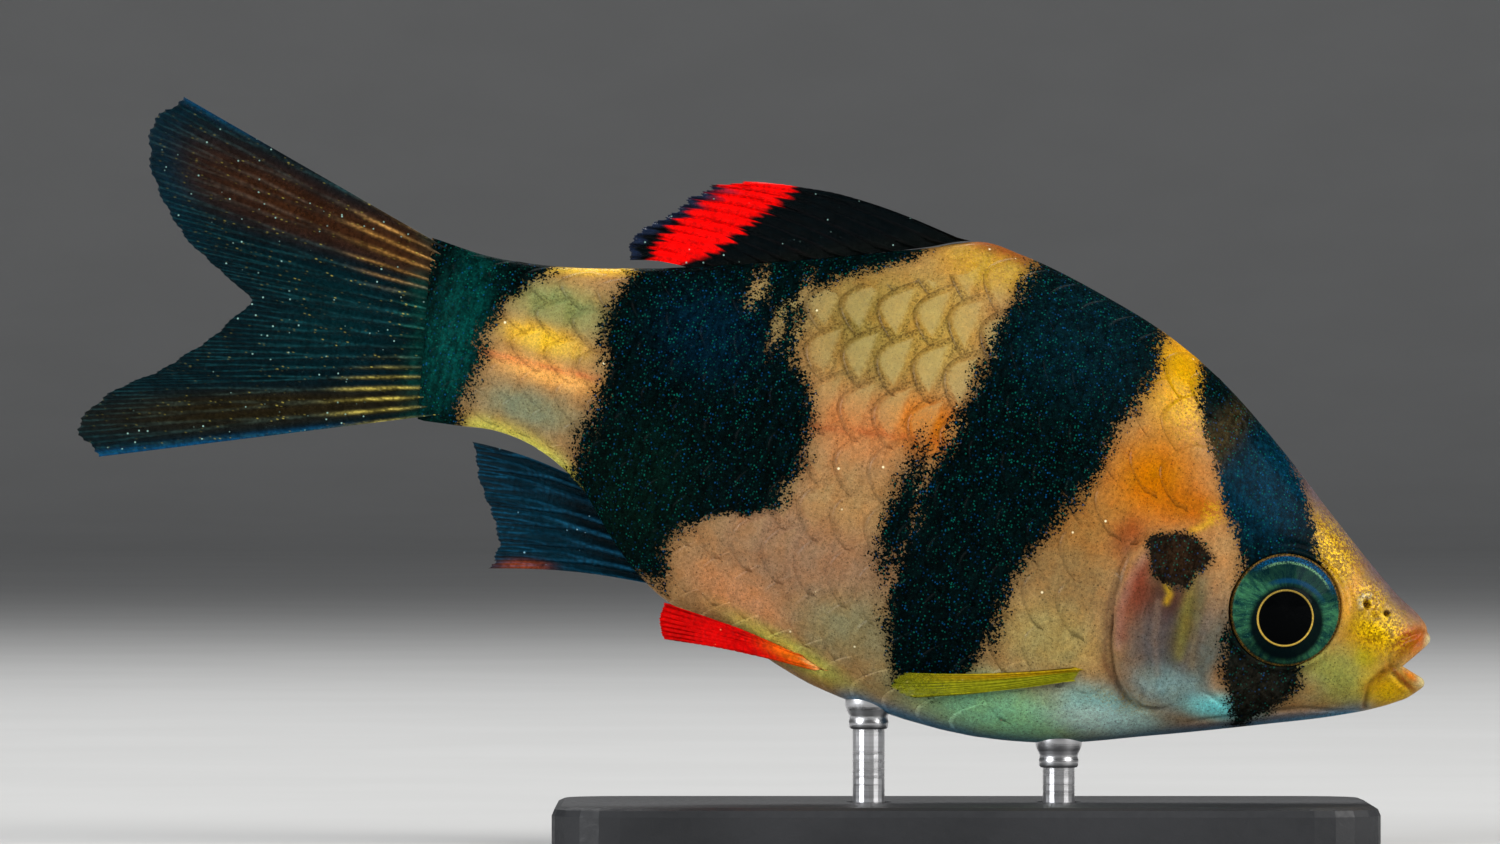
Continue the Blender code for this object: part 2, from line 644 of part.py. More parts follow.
def build_stand(pose):
    """A flat base with two short steel rods up to the belly."""
    rods = []
    base_top = BASE_THICKNESS
    grown_body = body_loft("belly_shape", GAP)
    grown_body.data.transform(pose)
    sockets = []
    for name, s in ROD_PLACES.items():
        contact = pose @ (Vector((-s, 0, float(belly(s)))) * MM)
        bottom = base_top - SOCKET_DEPTH + GAP
        height = contact.z / MM + ROD_SPARE - bottom
        bm = bmesh.new()
        bmesh.ops.create_cone(bm, cap_ends=True, segments=20, radius1=ROD_RADIUS,
                              radius2=ROD_RADIUS, depth=height)
        bm.transform(Matrix.Translation((contact.x / MM, 0, bottom + height / 2)))
        rod = object_from(bm, name)
        belly_copy = bpy.data.objects.new("belly_copy", grown_body.data.copy())
        bpy.context.scene.collection.objects.link(belly_copy)
        combine(rod, [belly_copy], "DIFFERENCE")
        keep_largest(rod)
        rods.append(rod)
        hole = bmesh.new()
        bmesh.ops.create_cone(hole, cap_ends=True, segments=24, radius1=ROD_RADIUS + GAP,
                              radius2=ROD_RADIUS + GAP, depth=2 * SOCKET_DEPTH)
        hole.transform(Matrix.Translation((contact.x / MM, 0, base_top)))
        sockets.append(object_from(hole, "socket"))
    middle = sum(rod.data.vertices[0].co.x for rod in rods) / len(rods) / MM
    bpy.data.objects.remove(grown_body)

    bm = bmesh.new()
    bmesh.ops.create_cube(bm, size=1.0)
    bm.transform(Matrix.Diagonal((BASE_LENGTH, BASE_WIDTH, BASE_THICKNESS, 1)))
    upright = [edge for edge in bm.edges if abs((edge.verts[0].co - edge.verts[1].co).z) > 0.1]
    bmesh.ops.bevel(bm, geom=upright, offset=BASE_CORNER, segments=5, affect="EDGES", profile=0.5)
    level = [edge for edge in bm.edges if abs((edge.verts[0].co - edge.verts[1].co).z) < 0.1]
    bmesh.ops.bevel(bm, geom=level, offset=BASE_EDGE, segments=2, affect="EDGES", profile=0.5)
    bm.transform(Matrix.Translation((middle, 0, BASE_THICKNESS / 2)))
    base = object_from(bm, "stand_base")
    combine(base, sockets, "DIFFERENCE")
    return [base, *rods]


def pose_over_stand(parts):
    """The matrix that tips the fish nose down, centres it, and sets its belly over the stand's base."""
    tipped = Matrix.Rotation(NOSE_DOWN, 4, "Y")
    points = [tipped @ vertex.co for part in parts for vertex in part.data.vertices]
    centre = (min(p.x for p in points) + max(p.x for p in points)) / 2
    lowest = min(p.z for p in points)
    height = (BASE_THICKNESS + BELLY_CLEARANCE) * MM - lowest
    return Matrix.Translation((-centre, 0, height)) @ tipped


def paint(part):
    """Gives a part its own plain material, by the start of its name."""
    kind = next(key for key in COLOURS if part.name.startswith(key))
    material = bpy.data.materials.new(part.name)
    material.use_nodes = True
    shader = material.node_tree.nodes["Principled BSDF"]
    shader.inputs["Base Color"].default_value = (*COLOURS[kind], 1)
    shader.inputs["Roughness"].default_value = 0.3
    shader.inputs["Metallic"].default_value = 1.0 if kind == "stand_rod" else 0.0
    part.data.materials.clear()
    part.data.materials.append(material)
    part.data.shade_smooth()
    part.data.set_sharp_from_angle(angle=math.radians(35))


def main():
    for thing in list(bpy.data.objects):
        bpy.data.objects.remove(thing)
    fish = list(build_flesh().values())
    for side, word in ((1, "left"), (-1, "right")):
        fish.append(eyeball(f"eye_{word}", side))
        fish.append(gill_cover(f"gill_cover_{word}", side))
        fish.append(build_pelvic_fin(f"pelvic_fin_{word}", side))
        fish.append(build_pectoral_fin(f"pectoral_fin_{word}", side))
    fish += [build_dorsal_fin(), build_anal_fin(), *build_tail_fin()]
    pose = pose_over_stand(fish)
    stand = build_stand(pose)

    holder = bpy.data.objects.new("fish_pose", None)
    holder.matrix_world = pose
    collection = bpy.data.collections.new("Tiger barb")
    bpy.context.scene.collection.children.link(collection)
    collection.objects.link(holder)
    for part in fish:
        part.parent = holder
    for part in fish + stand:
        paint(part)
        bpy.context.scene.collection.objects.unlink(part)
        collection.objects.link(part)


main()
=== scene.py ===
# %% [markdown]
# # A tiger barb on its display stand
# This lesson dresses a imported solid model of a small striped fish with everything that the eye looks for: wet
# skin, overlapping scales, finely rayed fins, metallic eyes, and the bars that give the fish its name. The
# solids stay as they are. Each new piece rides on the model's one body and stands for the solids it covers.
# Sizes are in millimetres in the fish's own frame: s runs back from the snout, y to the fish's left, and z up.

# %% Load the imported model
import math
import random

import bpy
import numpy as np
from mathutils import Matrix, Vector


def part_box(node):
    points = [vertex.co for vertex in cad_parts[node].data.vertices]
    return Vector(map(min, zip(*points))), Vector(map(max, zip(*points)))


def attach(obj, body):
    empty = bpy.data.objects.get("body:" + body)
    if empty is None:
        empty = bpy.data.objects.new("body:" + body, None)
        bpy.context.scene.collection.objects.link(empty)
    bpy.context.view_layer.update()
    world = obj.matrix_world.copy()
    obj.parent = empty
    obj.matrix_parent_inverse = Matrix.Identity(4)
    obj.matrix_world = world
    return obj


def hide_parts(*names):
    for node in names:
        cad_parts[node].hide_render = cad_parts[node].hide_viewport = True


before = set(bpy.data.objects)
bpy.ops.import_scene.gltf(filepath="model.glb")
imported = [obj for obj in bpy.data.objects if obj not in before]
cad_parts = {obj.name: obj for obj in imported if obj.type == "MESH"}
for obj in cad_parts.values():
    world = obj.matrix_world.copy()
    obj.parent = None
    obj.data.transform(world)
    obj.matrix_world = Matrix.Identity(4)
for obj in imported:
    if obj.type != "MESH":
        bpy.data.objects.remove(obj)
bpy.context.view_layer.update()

# %% [markdown]
# ## From the fish's frame to the world
# The fish was drawn level and then tipped nose down over its stand. One function does the same for every new
# point, so that all the pieces can be worked out along a level fish, where a fin or a bar is easy to place.
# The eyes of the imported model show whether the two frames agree.

# %% The fish's place in the world
MM = 0.001
NOSE_DOWN = math.radians(17.0)
SNOUT = (29.616, 8.453)  # where the snout's tip lies in the world, along x and z
PACKED_EYE = (6.45, 0.05)


def to_world(points):
    """Fish-frame points in millimetres, x ahead of the snout, as world points in metres."""
    points = np.asarray(points, float)
    x = points[..., 0] * math.cos(NOSE_DOWN) + points[..., 2] * math.sin(NOSE_DOWN) + SNOUT[0]
    z = points[..., 2] * math.cos(NOSE_DOWN) - points[..., 0] * math.sin(NOSE_DOWN) + SNOUT[1]
    return np.stack([x, points[..., 1], z], -1) * MM


eye_low, eye_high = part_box("eye_left")
eye_middle = to_world((-PACKED_EYE[0], 0.0, PACKED_EYE[1])) / MM
print("eye off by, mm:", [round((eye_low + eye_high)[k] / 2 / MM - eye_middle[k], 2) for k in (0, 2)])

# %% [markdown]
# ## Smooth curves and the body's section
# A body like this is easiest to hold as a few curves along its length: back, belly, width, and how full each
# half of the section is. A Hermite curve through a handful of measured points gives each one, and a
# superellipse gives the section, so any point of the skin can be found from s and an angle round the body.

# %% Curves along the body
BACK = [
    (-0.3, -0.95), (0.0, 0.5), (0.35, 1.15), (0.8, 1.52), (1.9, 2.08), (3.0, 2.76), (5.3, 4.3),
    (8.8, 6.7), (12.2, 8.7), (15.3, 10.0), (19.3, 11.0), (23.2, 11.6), (25.0, 11.65), (27.0, 10.75),
    (30.0, 9.4), (33.2, 8.0), (38.0, 6.1), (41.4, 5.1), (44.0, 4.7), (46.0, 4.75),
]
BELLY = [
    (-0.3, -1.5), (0.0, -1.85), (0.6, -2.3), (1.4, -2.85), (2.9, -3.65), (6.1, -5.1), (10.2, -6.9),
    (14.2, -8.55), (17.0, -9.2), (21.0, -9.4), (24.5, -9.15), (28.6, -8.1), (33.0, -7.15),
    (35.3, -5.75), (37.5, -4.0), (39.6, -2.95), (42.5, -2.55), (44.2, -2.8), (46.0, -3.05),
]
HALF_WIDTH = [
    (-0.3, 0.35), (0.0, 0.75), (0.5, 1.15), (1.2, 1.5), (2.5, 1.95), (4.5, 2.5), (6.5, 2.9),
    (9.0, 3.3), (12.0, 3.75), (16.0, 4.1), (20.0, 4.05), (24.0, 3.7), (28.0, 3.2), (32.0, 2.55),
    (36.0, 1.95), (40.0, 1.45), (43.0, 1.1), (44.6, 0.82), (45.6, 0.45), (46.4, 0.2),
]
WIDEST = [(0.0, 0.5), (6.0, 0.46), (20.0, 0.44), (46.0, 0.5)]  # the widest place's height, as a share
BACK_FULLNESS = [(0.0, 0.9), (8.0, 0.92), (16.0, 1.15), (25.0, 1.35), (36.0, 1.15), (46.0, 1.0)]
BELLY_FULLNESS = [(0.0, 0.9), (8.0, 1.0), (18.0, 0.9), (30.0, 1.0), (46.0, 1.0)]
TAIL_SLANT = [(0.0, 0.0), (37.0, 0.0), (41.0, 0.08), (46.0, 0.22)]
TAIL_MIDDLE = 0.85
QUARTER = math.pi / 2


def curve_through(points):
    """A smooth function through (position, value) points. It takes numbers or arrays."""
    places, values = np.array(points, float).T
    slopes = np.gradient(values, places)

    def value(place):
        place = np.clip(place, places[0], places[-1])
        left = np.clip(np.searchsorted(places, place) - 1, 0, len(places) - 2)
        step = places[left + 1] - places[left]
        t = (place - places[left]) / step
        ends = values[left] * (1 + 2 * t) * (1 - t) ** 2 + values[left + 1] * t * t * (3 - 2 * t)
        return ends + step * t * (1 - t) * (slopes[left] * (1 - t) - slopes[left + 1] * t)

    return value


back, belly, half_width, widest, back_fullness, belly_fullness, tail_slant = map(
    curve_through, (BACK, BELLY, HALF_WIDTH, WIDEST, BACK_FULLNESS, BELLY_FULLNESS, TAIL_SLANT)
)


def rise(value, low, high):
    """0 below low, 1 above high, and a soft step between them."""
    t = np.clip((value - low) / (high - low), 0.0, 1.0)
    return t * t * (3 - 2 * t)


def hill(distance, reach):
    """1 at distance 0, falling softly to nothing past the reach."""
    return np.exp(-((distance / reach) ** 2))


def section(s, angle):
    """The bare body's surface. The angle goes round from the top, towards the fish's left."""
    top, bottom = back(s), belly(s)
    middle = bottom + widest(s) * (top - bottom)
    above = np.cos(angle) > 0
    reach = np.where(above, top - middle, middle - bottom)
    fullness = np.where(above, back_fullness(s), belly_fullness(s))
    across = np.sin(angle)
    y = np.sign(across) * half_width(s) * np.abs(across) ** fullness
    z = middle + reach * np.cos(angle)
    return np.stack([-s - tail_slant(s) * (z - TAIL_MIDDLE), y, z], -1)


def side_at(s, z):
    """How far the body's side lies from the middle plane."""
    top, bottom = back(s), belly(s)
    middle = bottom + widest(s) * (top - bottom)
    reach = np.where(z > middle, top - middle, middle - bottom)
    fullness = np.where(z > middle, back_fullness(s), belly_fullness(s))
    level = np.minimum(np.abs(z - middle) / reach, 1.0)
    return half_width(s) * (1 - level * level) ** (fullness / 2)


def line_distance(s, z, line):
    """The distance from places to a bent line of (s, z) points."""
    nearest = np.full(np.shape(s), 1e9)
    for (s0, z0), (s1, z1) in zip(line, line[1:]):
        ds, dz = s1 - s0, z1 - z0
        t = np.clip(((s - s0) * ds + (z - z0) * dz) / (ds * ds + dz * dz), 0.0, 1.0)
        nearest = np.minimum(nearest, np.hypot(s - s0 - t * ds, z - z0 - t * dz))
    return nearest


print("deepest, mm:", round(float(back(24.0) - belly(24.0)), 1), "widest:", round(2 * float(half_width(17.0)), 1))

# %% [markdown]
# ## Meshes from grids
# Nearly every piece here is a grid of points that bends in space, so one helper turns a grid into a mesh. It
# also stores facts about each point, such as its place on the level fish or how deep it lies inside a bar. The
# materials read those facts, so that skin and scales carry the same markings wherever they meet.

# %% A mesh with facts on its points
PLACE = "place"  # the name of the fish-frame position that each point keeps


def grid_faces(rows, columns, closed=False, first=0):
    """Four-cornered faces over a grid of points numbered row by row."""
    across = columns if closed else columns - 1
    row, column = np.meshgrid(np.arange(rows - 1), np.arange(across), indexing="ij")
    after = (column + 1) % columns
    corners = np.stack([row * columns + column, row * columns + after,
                        (row + 1) * columns + after, (row + 1) * columns + column], -1)
    return corners.reshape(-1, 4) + first


def make_mesh(name, points, faces, facts=None, maps=None):
    """An object from fish-frame points. Facts are kept on points, and maps on the corners of faces."""
    mesh = bpy.data.meshes.new(name)
    flat = np.asarray(faces, np.int32)
    mesh.vertices.add(len(points))
    mesh.vertices.foreach_set("co", to_world(points).astype(np.float32).ravel())
    mesh.loops.add(flat.size)
    mesh.loops.foreach_set("vertex_index", flat.ravel())
    mesh.polygons.add(len(flat))
    mesh.polygons.foreach_set("loop_start", np.arange(0, flat.size, flat.shape[1], dtype=np.int32))
    mesh.polygons.foreach_set("use_smooth", np.ones(len(flat), bool))
    mesh.update(calc_edges=True)
    all_facts = {PLACE: points, **(facts or {})}
    for key, values in all_facts.items():
        values = np.asarray(values, np.float32)
        if values.ndim == 1:
            mesh.attributes.new(key, "FLOAT", "POINT").data.foreach_set("value", values)
        elif key == PLACE:
            mesh.attributes.new(key, "FLOAT_VECTOR", "POINT").data.foreach_set("vector", values.ravel())
        else:
            colour = np.concatenate([values, np.ones((len(values), 1), np.float32)], 1)
            mesh.attributes.new(key, "FLOAT_COLOR", "POINT").data.foreach_set("color", colour.ravel())
    if maps is not None:
        layer = mesh.uv_layers.new(name="OFBake")
        layer.data.foreach_set("uv", np.asarray(maps, np.float32).ravel())
    made = bpy.data.objects.new(name, mesh)
    bpy.context.scene.collection.objects.link(made)
    return made


def surface_normals(grid, closed=False):
    """Unit normals of a grid of points, from its neighbours along and across."""
    along = np.gradient(grid, axis=0)
    if closed:
        across = (np.roll(grid, -1, 1) - np.roll(grid, 1, 1)) / 2
    else:
        across = np.gradient(grid, axis=1)
    normals = np.cross(across, along)
    return normals / np.maximum(np.linalg.norm(normals, axis=-1, keepdims=True), 1e-9)


def report(made):
    """Prints how many triangles a piece has."""
    count = sum(len(polygon.vertices) - 2 for polygon in made.data.polygons)
    print(f"{made.name}: {count} triangles")


# %% [markdown]
# ## The lips and the face
# The mouth is open, a sharp notch seen from the side. Cutting it with a Boolean would leave a ragged rim, so the
# skin's grid starts inside the mouth instead. Its rings run out over the lips, dip into the fold behind them,
# and spread over the face until they stand square to the body. Each lip is an arc that rolls round a centre
# line from one corner of the mouth to the other.

# %% Rings of the mouth and lips
ROUND = 480  # points round the body
ANGLES = np.arange(ROUND) * 2 * math.pi / ROUND
MOUTH_CORNER = (1.2, -0.86)
LIP_TIPS = {"upper": (0.4, 0.63), "lower": (0.02, -1.3)}
LIP_RADII = {"upper": 0.34, "lower": 0.28}
LIP_HALF_WIDTH = 1.2
LIP_AXIS = (-1.6, 0.0, -0.75)  # the point inside the head that the lips face away from
LIP_ARC = np.radians(np.linspace(-22.0, 190.0, 20))
THROAT = (2.6, -0.75, 0.62, 0.42)  # its place s and z, half width and half height
FACE_EDGE = {"upper": 0.36, "corner": 1.32, "lower": 0.3}  # where the face starts behind the lips
FACE_END = 3.6
FACE_ROWS = 54
TWIST = 0.126  # turns the rings so that one point of each lies at the corner of the mouth


def openness(angle, softness=0.1):
    """0 at the corners of the mouth and 1 at the middle of each lip."""
    full = math.hypot(1.0, softness) - softness
    return (np.hypot(np.cos(angle), softness) - softness) / full


def lip_choice(sizes):
    return np.where(np.cos(ANGLES) > 0, sizes["upper"], sizes["lower"])


def unit(vectors):
    return vectors / np.maximum(np.linalg.norm(vectors, axis=-1, keepdims=True), 1e-9)


def lip_rings():
    """Rings from the face side of the lips, over them and into the mouth."""
    spread = openness(ANGLES)
    tip_s = lip_choice({key: tip[0] for key, tip in LIP_TIPS.items()})
    tip_z = lip_choice({key: tip[1] for key, tip in LIP_TIPS.items()})
    centre_s = MOUTH_CORNER[0] + (tip_s - MOUTH_CORNER[0]) * spread
    centre_z = MOUTH_CORNER[1] + (tip_z - MOUTH_CORNER[1]) * spread
    centre = np.stack([-centre_s, LIP_HALF_WIDTH * np.sin(ANGLES), centre_z], -1)
    radius = (lip_choice(LIP_RADII) * (0.5 + 0.5 * spread))[:, None]
    along = unit(np.roll(centre, -1, 0) - np.roll(centre, 1, 0))
    outward = centre - np.array(LIP_AXIS)
    outward = unit(outward - (outward * along).sum(-1, keepdims=True) * along)
    forward = np.cross(along, outward)
    return [centre + radius * (math.cos(a) * outward + math.sin(a) * forward) for a in LIP_ARC]


def mouth_rings(last_lip_ring, count=12):
    """Rings from the lips' inner edge back to the closed throat."""
    s, z, wide, high = THROAT
    throat = np.stack([np.full(ROUND, -s), wide * np.sin(ANGLES), z + high * np.cos(ANGLES)], -1)
    shares = np.linspace(0, 1, count + 1)[1:]
    rings = [last_lip_ring + (throat - last_lip_ring) * rise(share, -0.4, 1.0) for share in shares]
    return rings + [throat * [1, 0.3, 1] + [-0.4, 0, 0]]


def face_ring(share):
    """A ring of the face, from the fold behind the lips at 0 to square with the body at 1."""
    spread = openness(ANGLES)
    start = FACE_EDGE["corner"] + (lip_choice(FACE_EDGE) - FACE_EDGE["corner"]) * spread
    s = start + (FACE_END - start) * share
    twist = TWIST * np.sin(ANGLES) * np.abs(np.sin(ANGLES)) * (1 - share)
    return section(s, ANGLES + twist)


def joining_rings(first, last, count=5):
    """Rings across the fold between a lip and the face."""
    return [first + (last - first) * n / (count + 1) for n in range(1, count + 1)]


lips = lip_rings()
face = [face_ring(n / FACE_ROWS) for n in range(FACE_ROWS + 1)]
mouth_part = list(reversed(mouth_rings(lips[-1]))) + list(reversed(lips)) + joining_rings(lips[0], face[0])
print("rings up to the face:", len(mouth_part), "and over it:", len(face))

# %% [markdown]
# ## The whole skin as one grid
# Behind the face the rings stand square to the body, close together on the head, where the detail is, and
# wider apart under the scales. The first rings are smoothed along the grid, which rounds the lips into the
# face. The relief comes next, so this cell only makes the smooth body.

# %% Rings of the body
HEAD_STEP = 0.07
TRUNK_STEP = 0.15
HEAD_END = 13.6
SKIN_END = 46.35

head_places = np.arange(FACE_END + HEAD_STEP, HEAD_END, HEAD_STEP)
trunk_places = np.arange(HEAD_END, SKIN_END, TRUNK_STEP)
places = np.concatenate([head_places, trunk_places])
body_part = [section(np.full(ROUND, s), ANGLES) for s in places]
skin_grid = np.array(mouth_part + face + body_part)

fold_row = len(mouth_part)
soft = hill(np.arange(len(skin_grid)) - (fold_row - 1.0), 6.0)[:, None, None]
for n in range(9):
    neighbours = skin_grid.copy()
    neighbours[1:-1] = (skin_grid[:-2] + skin_grid[2:]) / 2
    skin_grid += (neighbours - skin_grid) * 0.5 * soft
print("skin grid:", skin_grid.shape[:2])

# %% [markdown]
# ## Relief of the head
# Sockets, gill covers, folds and nostrils could be sculpted by hand, or cut as separate solids. Here each is a
# small function of place that says how far the skin rises or sinks, and the grid's points move that far along
# their normals. That keeps the skin one closed sheet, and each feature stays easy to find and to change.

# %% Sockets, gill covers, nostrils and folds
EYE_PLACE = (6.65, 0.07)  # its middle as the camera sees it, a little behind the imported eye's
EYE_RADIUS = 2.46
SOCKET_DEPTH = 1.25
RIM_HEIGHT = 0.07
NOSTRILS = [((2.3, 1.24), 0.14), ((3.3, 1.34), 0.2)]
NOSTRIL_FLAP = [(3.42, 1.1), (3.6, 1.42), (3.5, 1.7), (3.22, 1.78)]
SNOUT_RIDGE = [(2.95, 1.8), (2.74, 1.5), (2.78, 1.15)]
COVER_MIDDLE = (11.4, -1.9)
COVER_OUTLINE = [
    (0, 2.3), (20, 2.6), (41, 3.3), (62, 3.9), (82, 4.05), (102, 3.5), (124, 2.5), (150, 1.85), (180, 1.75),
    (205, 2.15), (228, 3.1), (248, 3.75), (266, 3.85), (284, 3.3), (308, 2.55), (335, 2.2),
]  # degrees from straight back, upward, and the cover's reach there
COVER_RISE = 0.17
CHEEK_RIDGE = [(10.5, 0.6), (9.85, -1.2), (9.3, -3.2), (8.5, -4.5), (6.9, -5.0)]
COVER_RAY_TOP = (12.2, 3.4)  # the point that the cover's fine lines run down from
JAW_FOLDS = [
    [(1.25, -0.9), (1.75, -1.35), (2.15, -2.0), (2.05, -2.9)],
    [(0.75, 0.75), (1.3, 0.35), (1.75, -0.3), (1.55, -0.95)],
    [(0.25, -1.62), (0.8, -1.5), (1.3, -1.25)],
]
CHIN_FOLDS = [(1.0, 8.5, 0.75), (1.6, 9.5, 1.35)]  # from s to s, and y of each gill-slit fold under the throat
LOBE_PLACE = (13.9, -5.2)
LOBE_SIZE = (1.1, 0.8, 0.1)
FIN_SHEATHS = [("back", 24.6, 36.4, 0.16), ("belly", 33.0, 37.8, 0.16)]

cover_reach = curve_through(
    [(a - 360, r) for a, r in COVER_OUTLINE] + COVER_OUTLINE + [(a + 360, r) for a, r in COVER_OUTLINE]
)


def cover_depth(s, z):
    """How far inside the gill cover's outline a place lies, below 0 outside it, and the angle from its middle."""
    across, up = s - COVER_MIDDLE[0], z - COVER_MIDDLE[1]
    angle = np.degrees(np.arctan2(up, across))
    return cover_reach(angle) - np.hypot(across, up), angle


def eye_distance(s, z):
    return np.hypot(s - EYE_PLACE[0], z - EYE_PLACE[1])


def head_relief(s, z):
    """How far the side of the head rises, in millimetres."""
    from_eye = eye_distance(s, z)
    height = -SOCKET_DEPTH * (1 - rise(from_eye, EYE_RADIUS - 0.2, EYE_RADIUS + 0.03))
    height += RIM_HEIGHT * hill(from_eye - (EYE_RADIUS + 0.12), 0.14)
    height -= 0.04 * hill(from_eye - (EYE_RADIUS + 0.45), 0.18)

    depth, angle = cover_depth(s, z)
    rear = rise(np.cos(np.radians(angle + 14.0)), -0.3, 0.45)
    height += rear * COVER_RISE * rise(depth, -0.06, 0.1) * (1 - 0.6 * rise(depth, 0.1, 1.8))
    height -= rear * 0.1 * hill(depth + 0.12, 0.12)
    height += rear * 0.04 * hill(depth - 0.75, 0.16)
    ridge = line_distance(s, z, CHEEK_RIDGE)
    height += 0.07 * hill(ridge, 0.3) - 0.07 * hill(line_distance(s - 0.32, z - 0.1, CHEEK_RIDGE), 0.14)
    fan = np.degrees(np.arctan2(s - COVER_RAY_TOP[0], COVER_RAY_TOP[1] - z))
    on_cover = rise(depth, 0.25, 0.9) * rise(COVER_RAY_TOP[1] - z, 1.8, 3.2) * rise(s, 9.0, 10.0)
    height += 0.018 * on_cover * np.sin(fan * 0.9 + 0.5 * np.sin(z * 1.7))

    for (hole_s, hole_z), radius in NOSTRILS:
        from_hole = np.hypot(s - hole_s, z - hole_z)
        height -= 0.36 * (1 - rise(from_hole, radius * 0.4, radius * 1.1))
    height += 0.17 * hill(line_distance(s, z, NOSTRIL_FLAP), 0.12) + 0.06 * hill(line_distance(s, z, SNOUT_RIDGE), 0.14)
    for fold in JAW_FOLDS:
        height -= 0.06 * hill(line_distance(s, z, fold), 0.09)
        height += 0.035 * hill(line_distance(s, z, fold) - 0.22, 0.14)
    return height


def trunk_relief(s, y, z):
    """The lobes that the breast fins grow from, the sheaths of the other fins, and the throat's folds."""
    lobe_s, lobe_z = LOBE_PLACE
    long, high, proud = LOBE_SIZE
    from_lobe = np.hypot((s - lobe_s) / long, (z - lobe_z) / high)
    height = proud * np.sqrt(np.clip(1 - from_lobe**2, 0, 1)) * (1 - rise(s, lobe_s + 0.3, lobe_s + 0.9))
    height -= 0.06 * hill(s - (lobe_s + 0.75), 0.22) * hill(z - lobe_z, 0.7)
    for edge, start, end, proud in FIN_SHEATHS:
        line = back(s) if edge == "back" else belly(s)
        inside = rise(s, start, start + 1.0) * (1 - rise(s, end - 0.8, end))
        height += proud * inside * hill(z - line, 1.1) * rise(np.abs(y), 0.05, 0.5)
    for start, end, fold_y in CHIN_FOLDS:
        inside = rise(s, start, start + 2.0) * (1 - rise(s, end - 1.5, end))
        height -= 0.1 * inside * hill(np.abs(y) - fold_y * rise(s, 0.5, 5.0), 0.12) * (z < belly(s) + 1.5)
    return height


base_s = -skin_grid[..., 0] - tail_slant(-skin_grid[..., 0]) * (skin_grid[..., 2] - TAIL_MIDDLE)
base_y, base_z = skin_grid[..., 1], skin_grid[..., 2]
outside = np.arange(len(skin_grid))[:, None] >= fold_row - 3
on_side = rise(np.abs(base_y), 0.35, 0.8)
relief = np.where(outside, head_relief(base_s, base_z) * on_side + trunk_relief(base_s, base_y, base_z), 0.0)
normals = surface_normals(skin_grid, closed=True)
normals *= np.sign((normals * [0, 1, 0.2]).sum(-1, keepdims=True) * (skin_grid * [0, 1, 0]).sum(-1, keepdims=True)
                   + 1e-9)[len(skin_grid) // 2, ROUND // 4]
skin_grid = skin_grid + normals * relief[..., None]
print("relief from", round(float(relief.min()), 2), "to", round(float(relief.max()), 2), "mm")

# %% [markdown]
# ## Where the colours lie
# The markings are laid out as a painter would plan them. Four bars have a front and a rear edge that change with
# height, and the distance inside a bar is kept in millimetres, so that a material can fray the edge later.
# The ground between them is a set of soft named washes, broad ones first and small ones over them.

# %% Bars and washes
BARS = {
    "eye bar": dict(
        front=[(-5.2, 7.0), (-4.0, 5.9), (-3.0, 5.4), (-2.0, 5.5), (2.0, 5.6), (3.0, 6.3), (4.0, 6.8), (5.0, 7.4),
               (6.0, 8.1), (7.5, 9.6), (9.0, 11.2)],
        rear=[(-5.2, 7.2), (-4.0, 7.8), (-3.0, 8.4), (-2.0, 8.55), (-0.5, 8.6), (2.0, 9.1), (3.0, 9.8), (4.0, 10.5),
              (5.0, 10.9), (6.0, 11.6), (7.0, 12.3), (9.0, 12.9)],
    ),
    "shoulder bar": dict(
        front=[(-7.6, 20.9), (-7.0, 19.9), (-5.7, 19.2), (-3.3, 19.0), (-1.0, 18.5), (1.1, 17.7), (3.0, 16.9),
               (5.0, 16.4), (7.0, 15.9), (9.0, 15.5), (10.2, 15.6)],
        rear=[(-7.6, 21.5), (-6.8, 22.3), (-4.8, 22.9), (-2.4, 23.2), (-1.3, 22.9), (0.5, 23.0),
              (2.0, 22.7), (4.0, 22.4), (6.0, 22.1), (8.0, 21.9), (11.2, 21.2)],
    ),
    "flank bar": dict(
        front=[(-6.6, 33.4), (-4.0, 33.1), (-3.2, 31.8), (-2.4, 30.0), (-1.0, 29.5), (1.0, 29.1), (3.0, 29.6),
               (4.4, 30.8), (6.0, 31.0), (7.0, 30.8), (8.0, 30.2), (9.1, 28.6), (10.0, 27.2), (11.0, 26.5)],
        rear=[(-7.2, 34.3), (-6.0, 35.4), (-5.0, 36.8), (-4.0, 37.6), (-2.0, 37.8), (1.0, 37.8), (3.0, 38.3),
              (5.0, 38.2), (6.2, 37.6), (7.5, 37.9), (11.0, 38.5)],
    ),
    "tail bar": dict(
        front=[(-3.2, 44.0), (-1.0, 44.1), (1.0, 43.9), (2.5, 43.7), (3.6, 43.2), (4.6, 42.2), (5.4, 41.6)],
        rear=[(-3.2, 46.4), (5.4, 46.9)],
    ),
}
PALE_NOTCHES = [(32.8, 6.8, 0.55, 1.1), (31.5, 5.3, 0.4, 1.2), (30.7, 7.1, 0.5, 1.2), (30.2, 5.6, 0.3, 0.6)]
EDGE_SHARPNESS = {"eye bar": 1.5, "gill spot": 2.0}  # how much quicker these fray out than the rest
GILL_SPOT = (11.85, 0.85, 1.16, 1.05)
REAR_WEDGE = (23.9, -1.1, 0.34, 1.5)

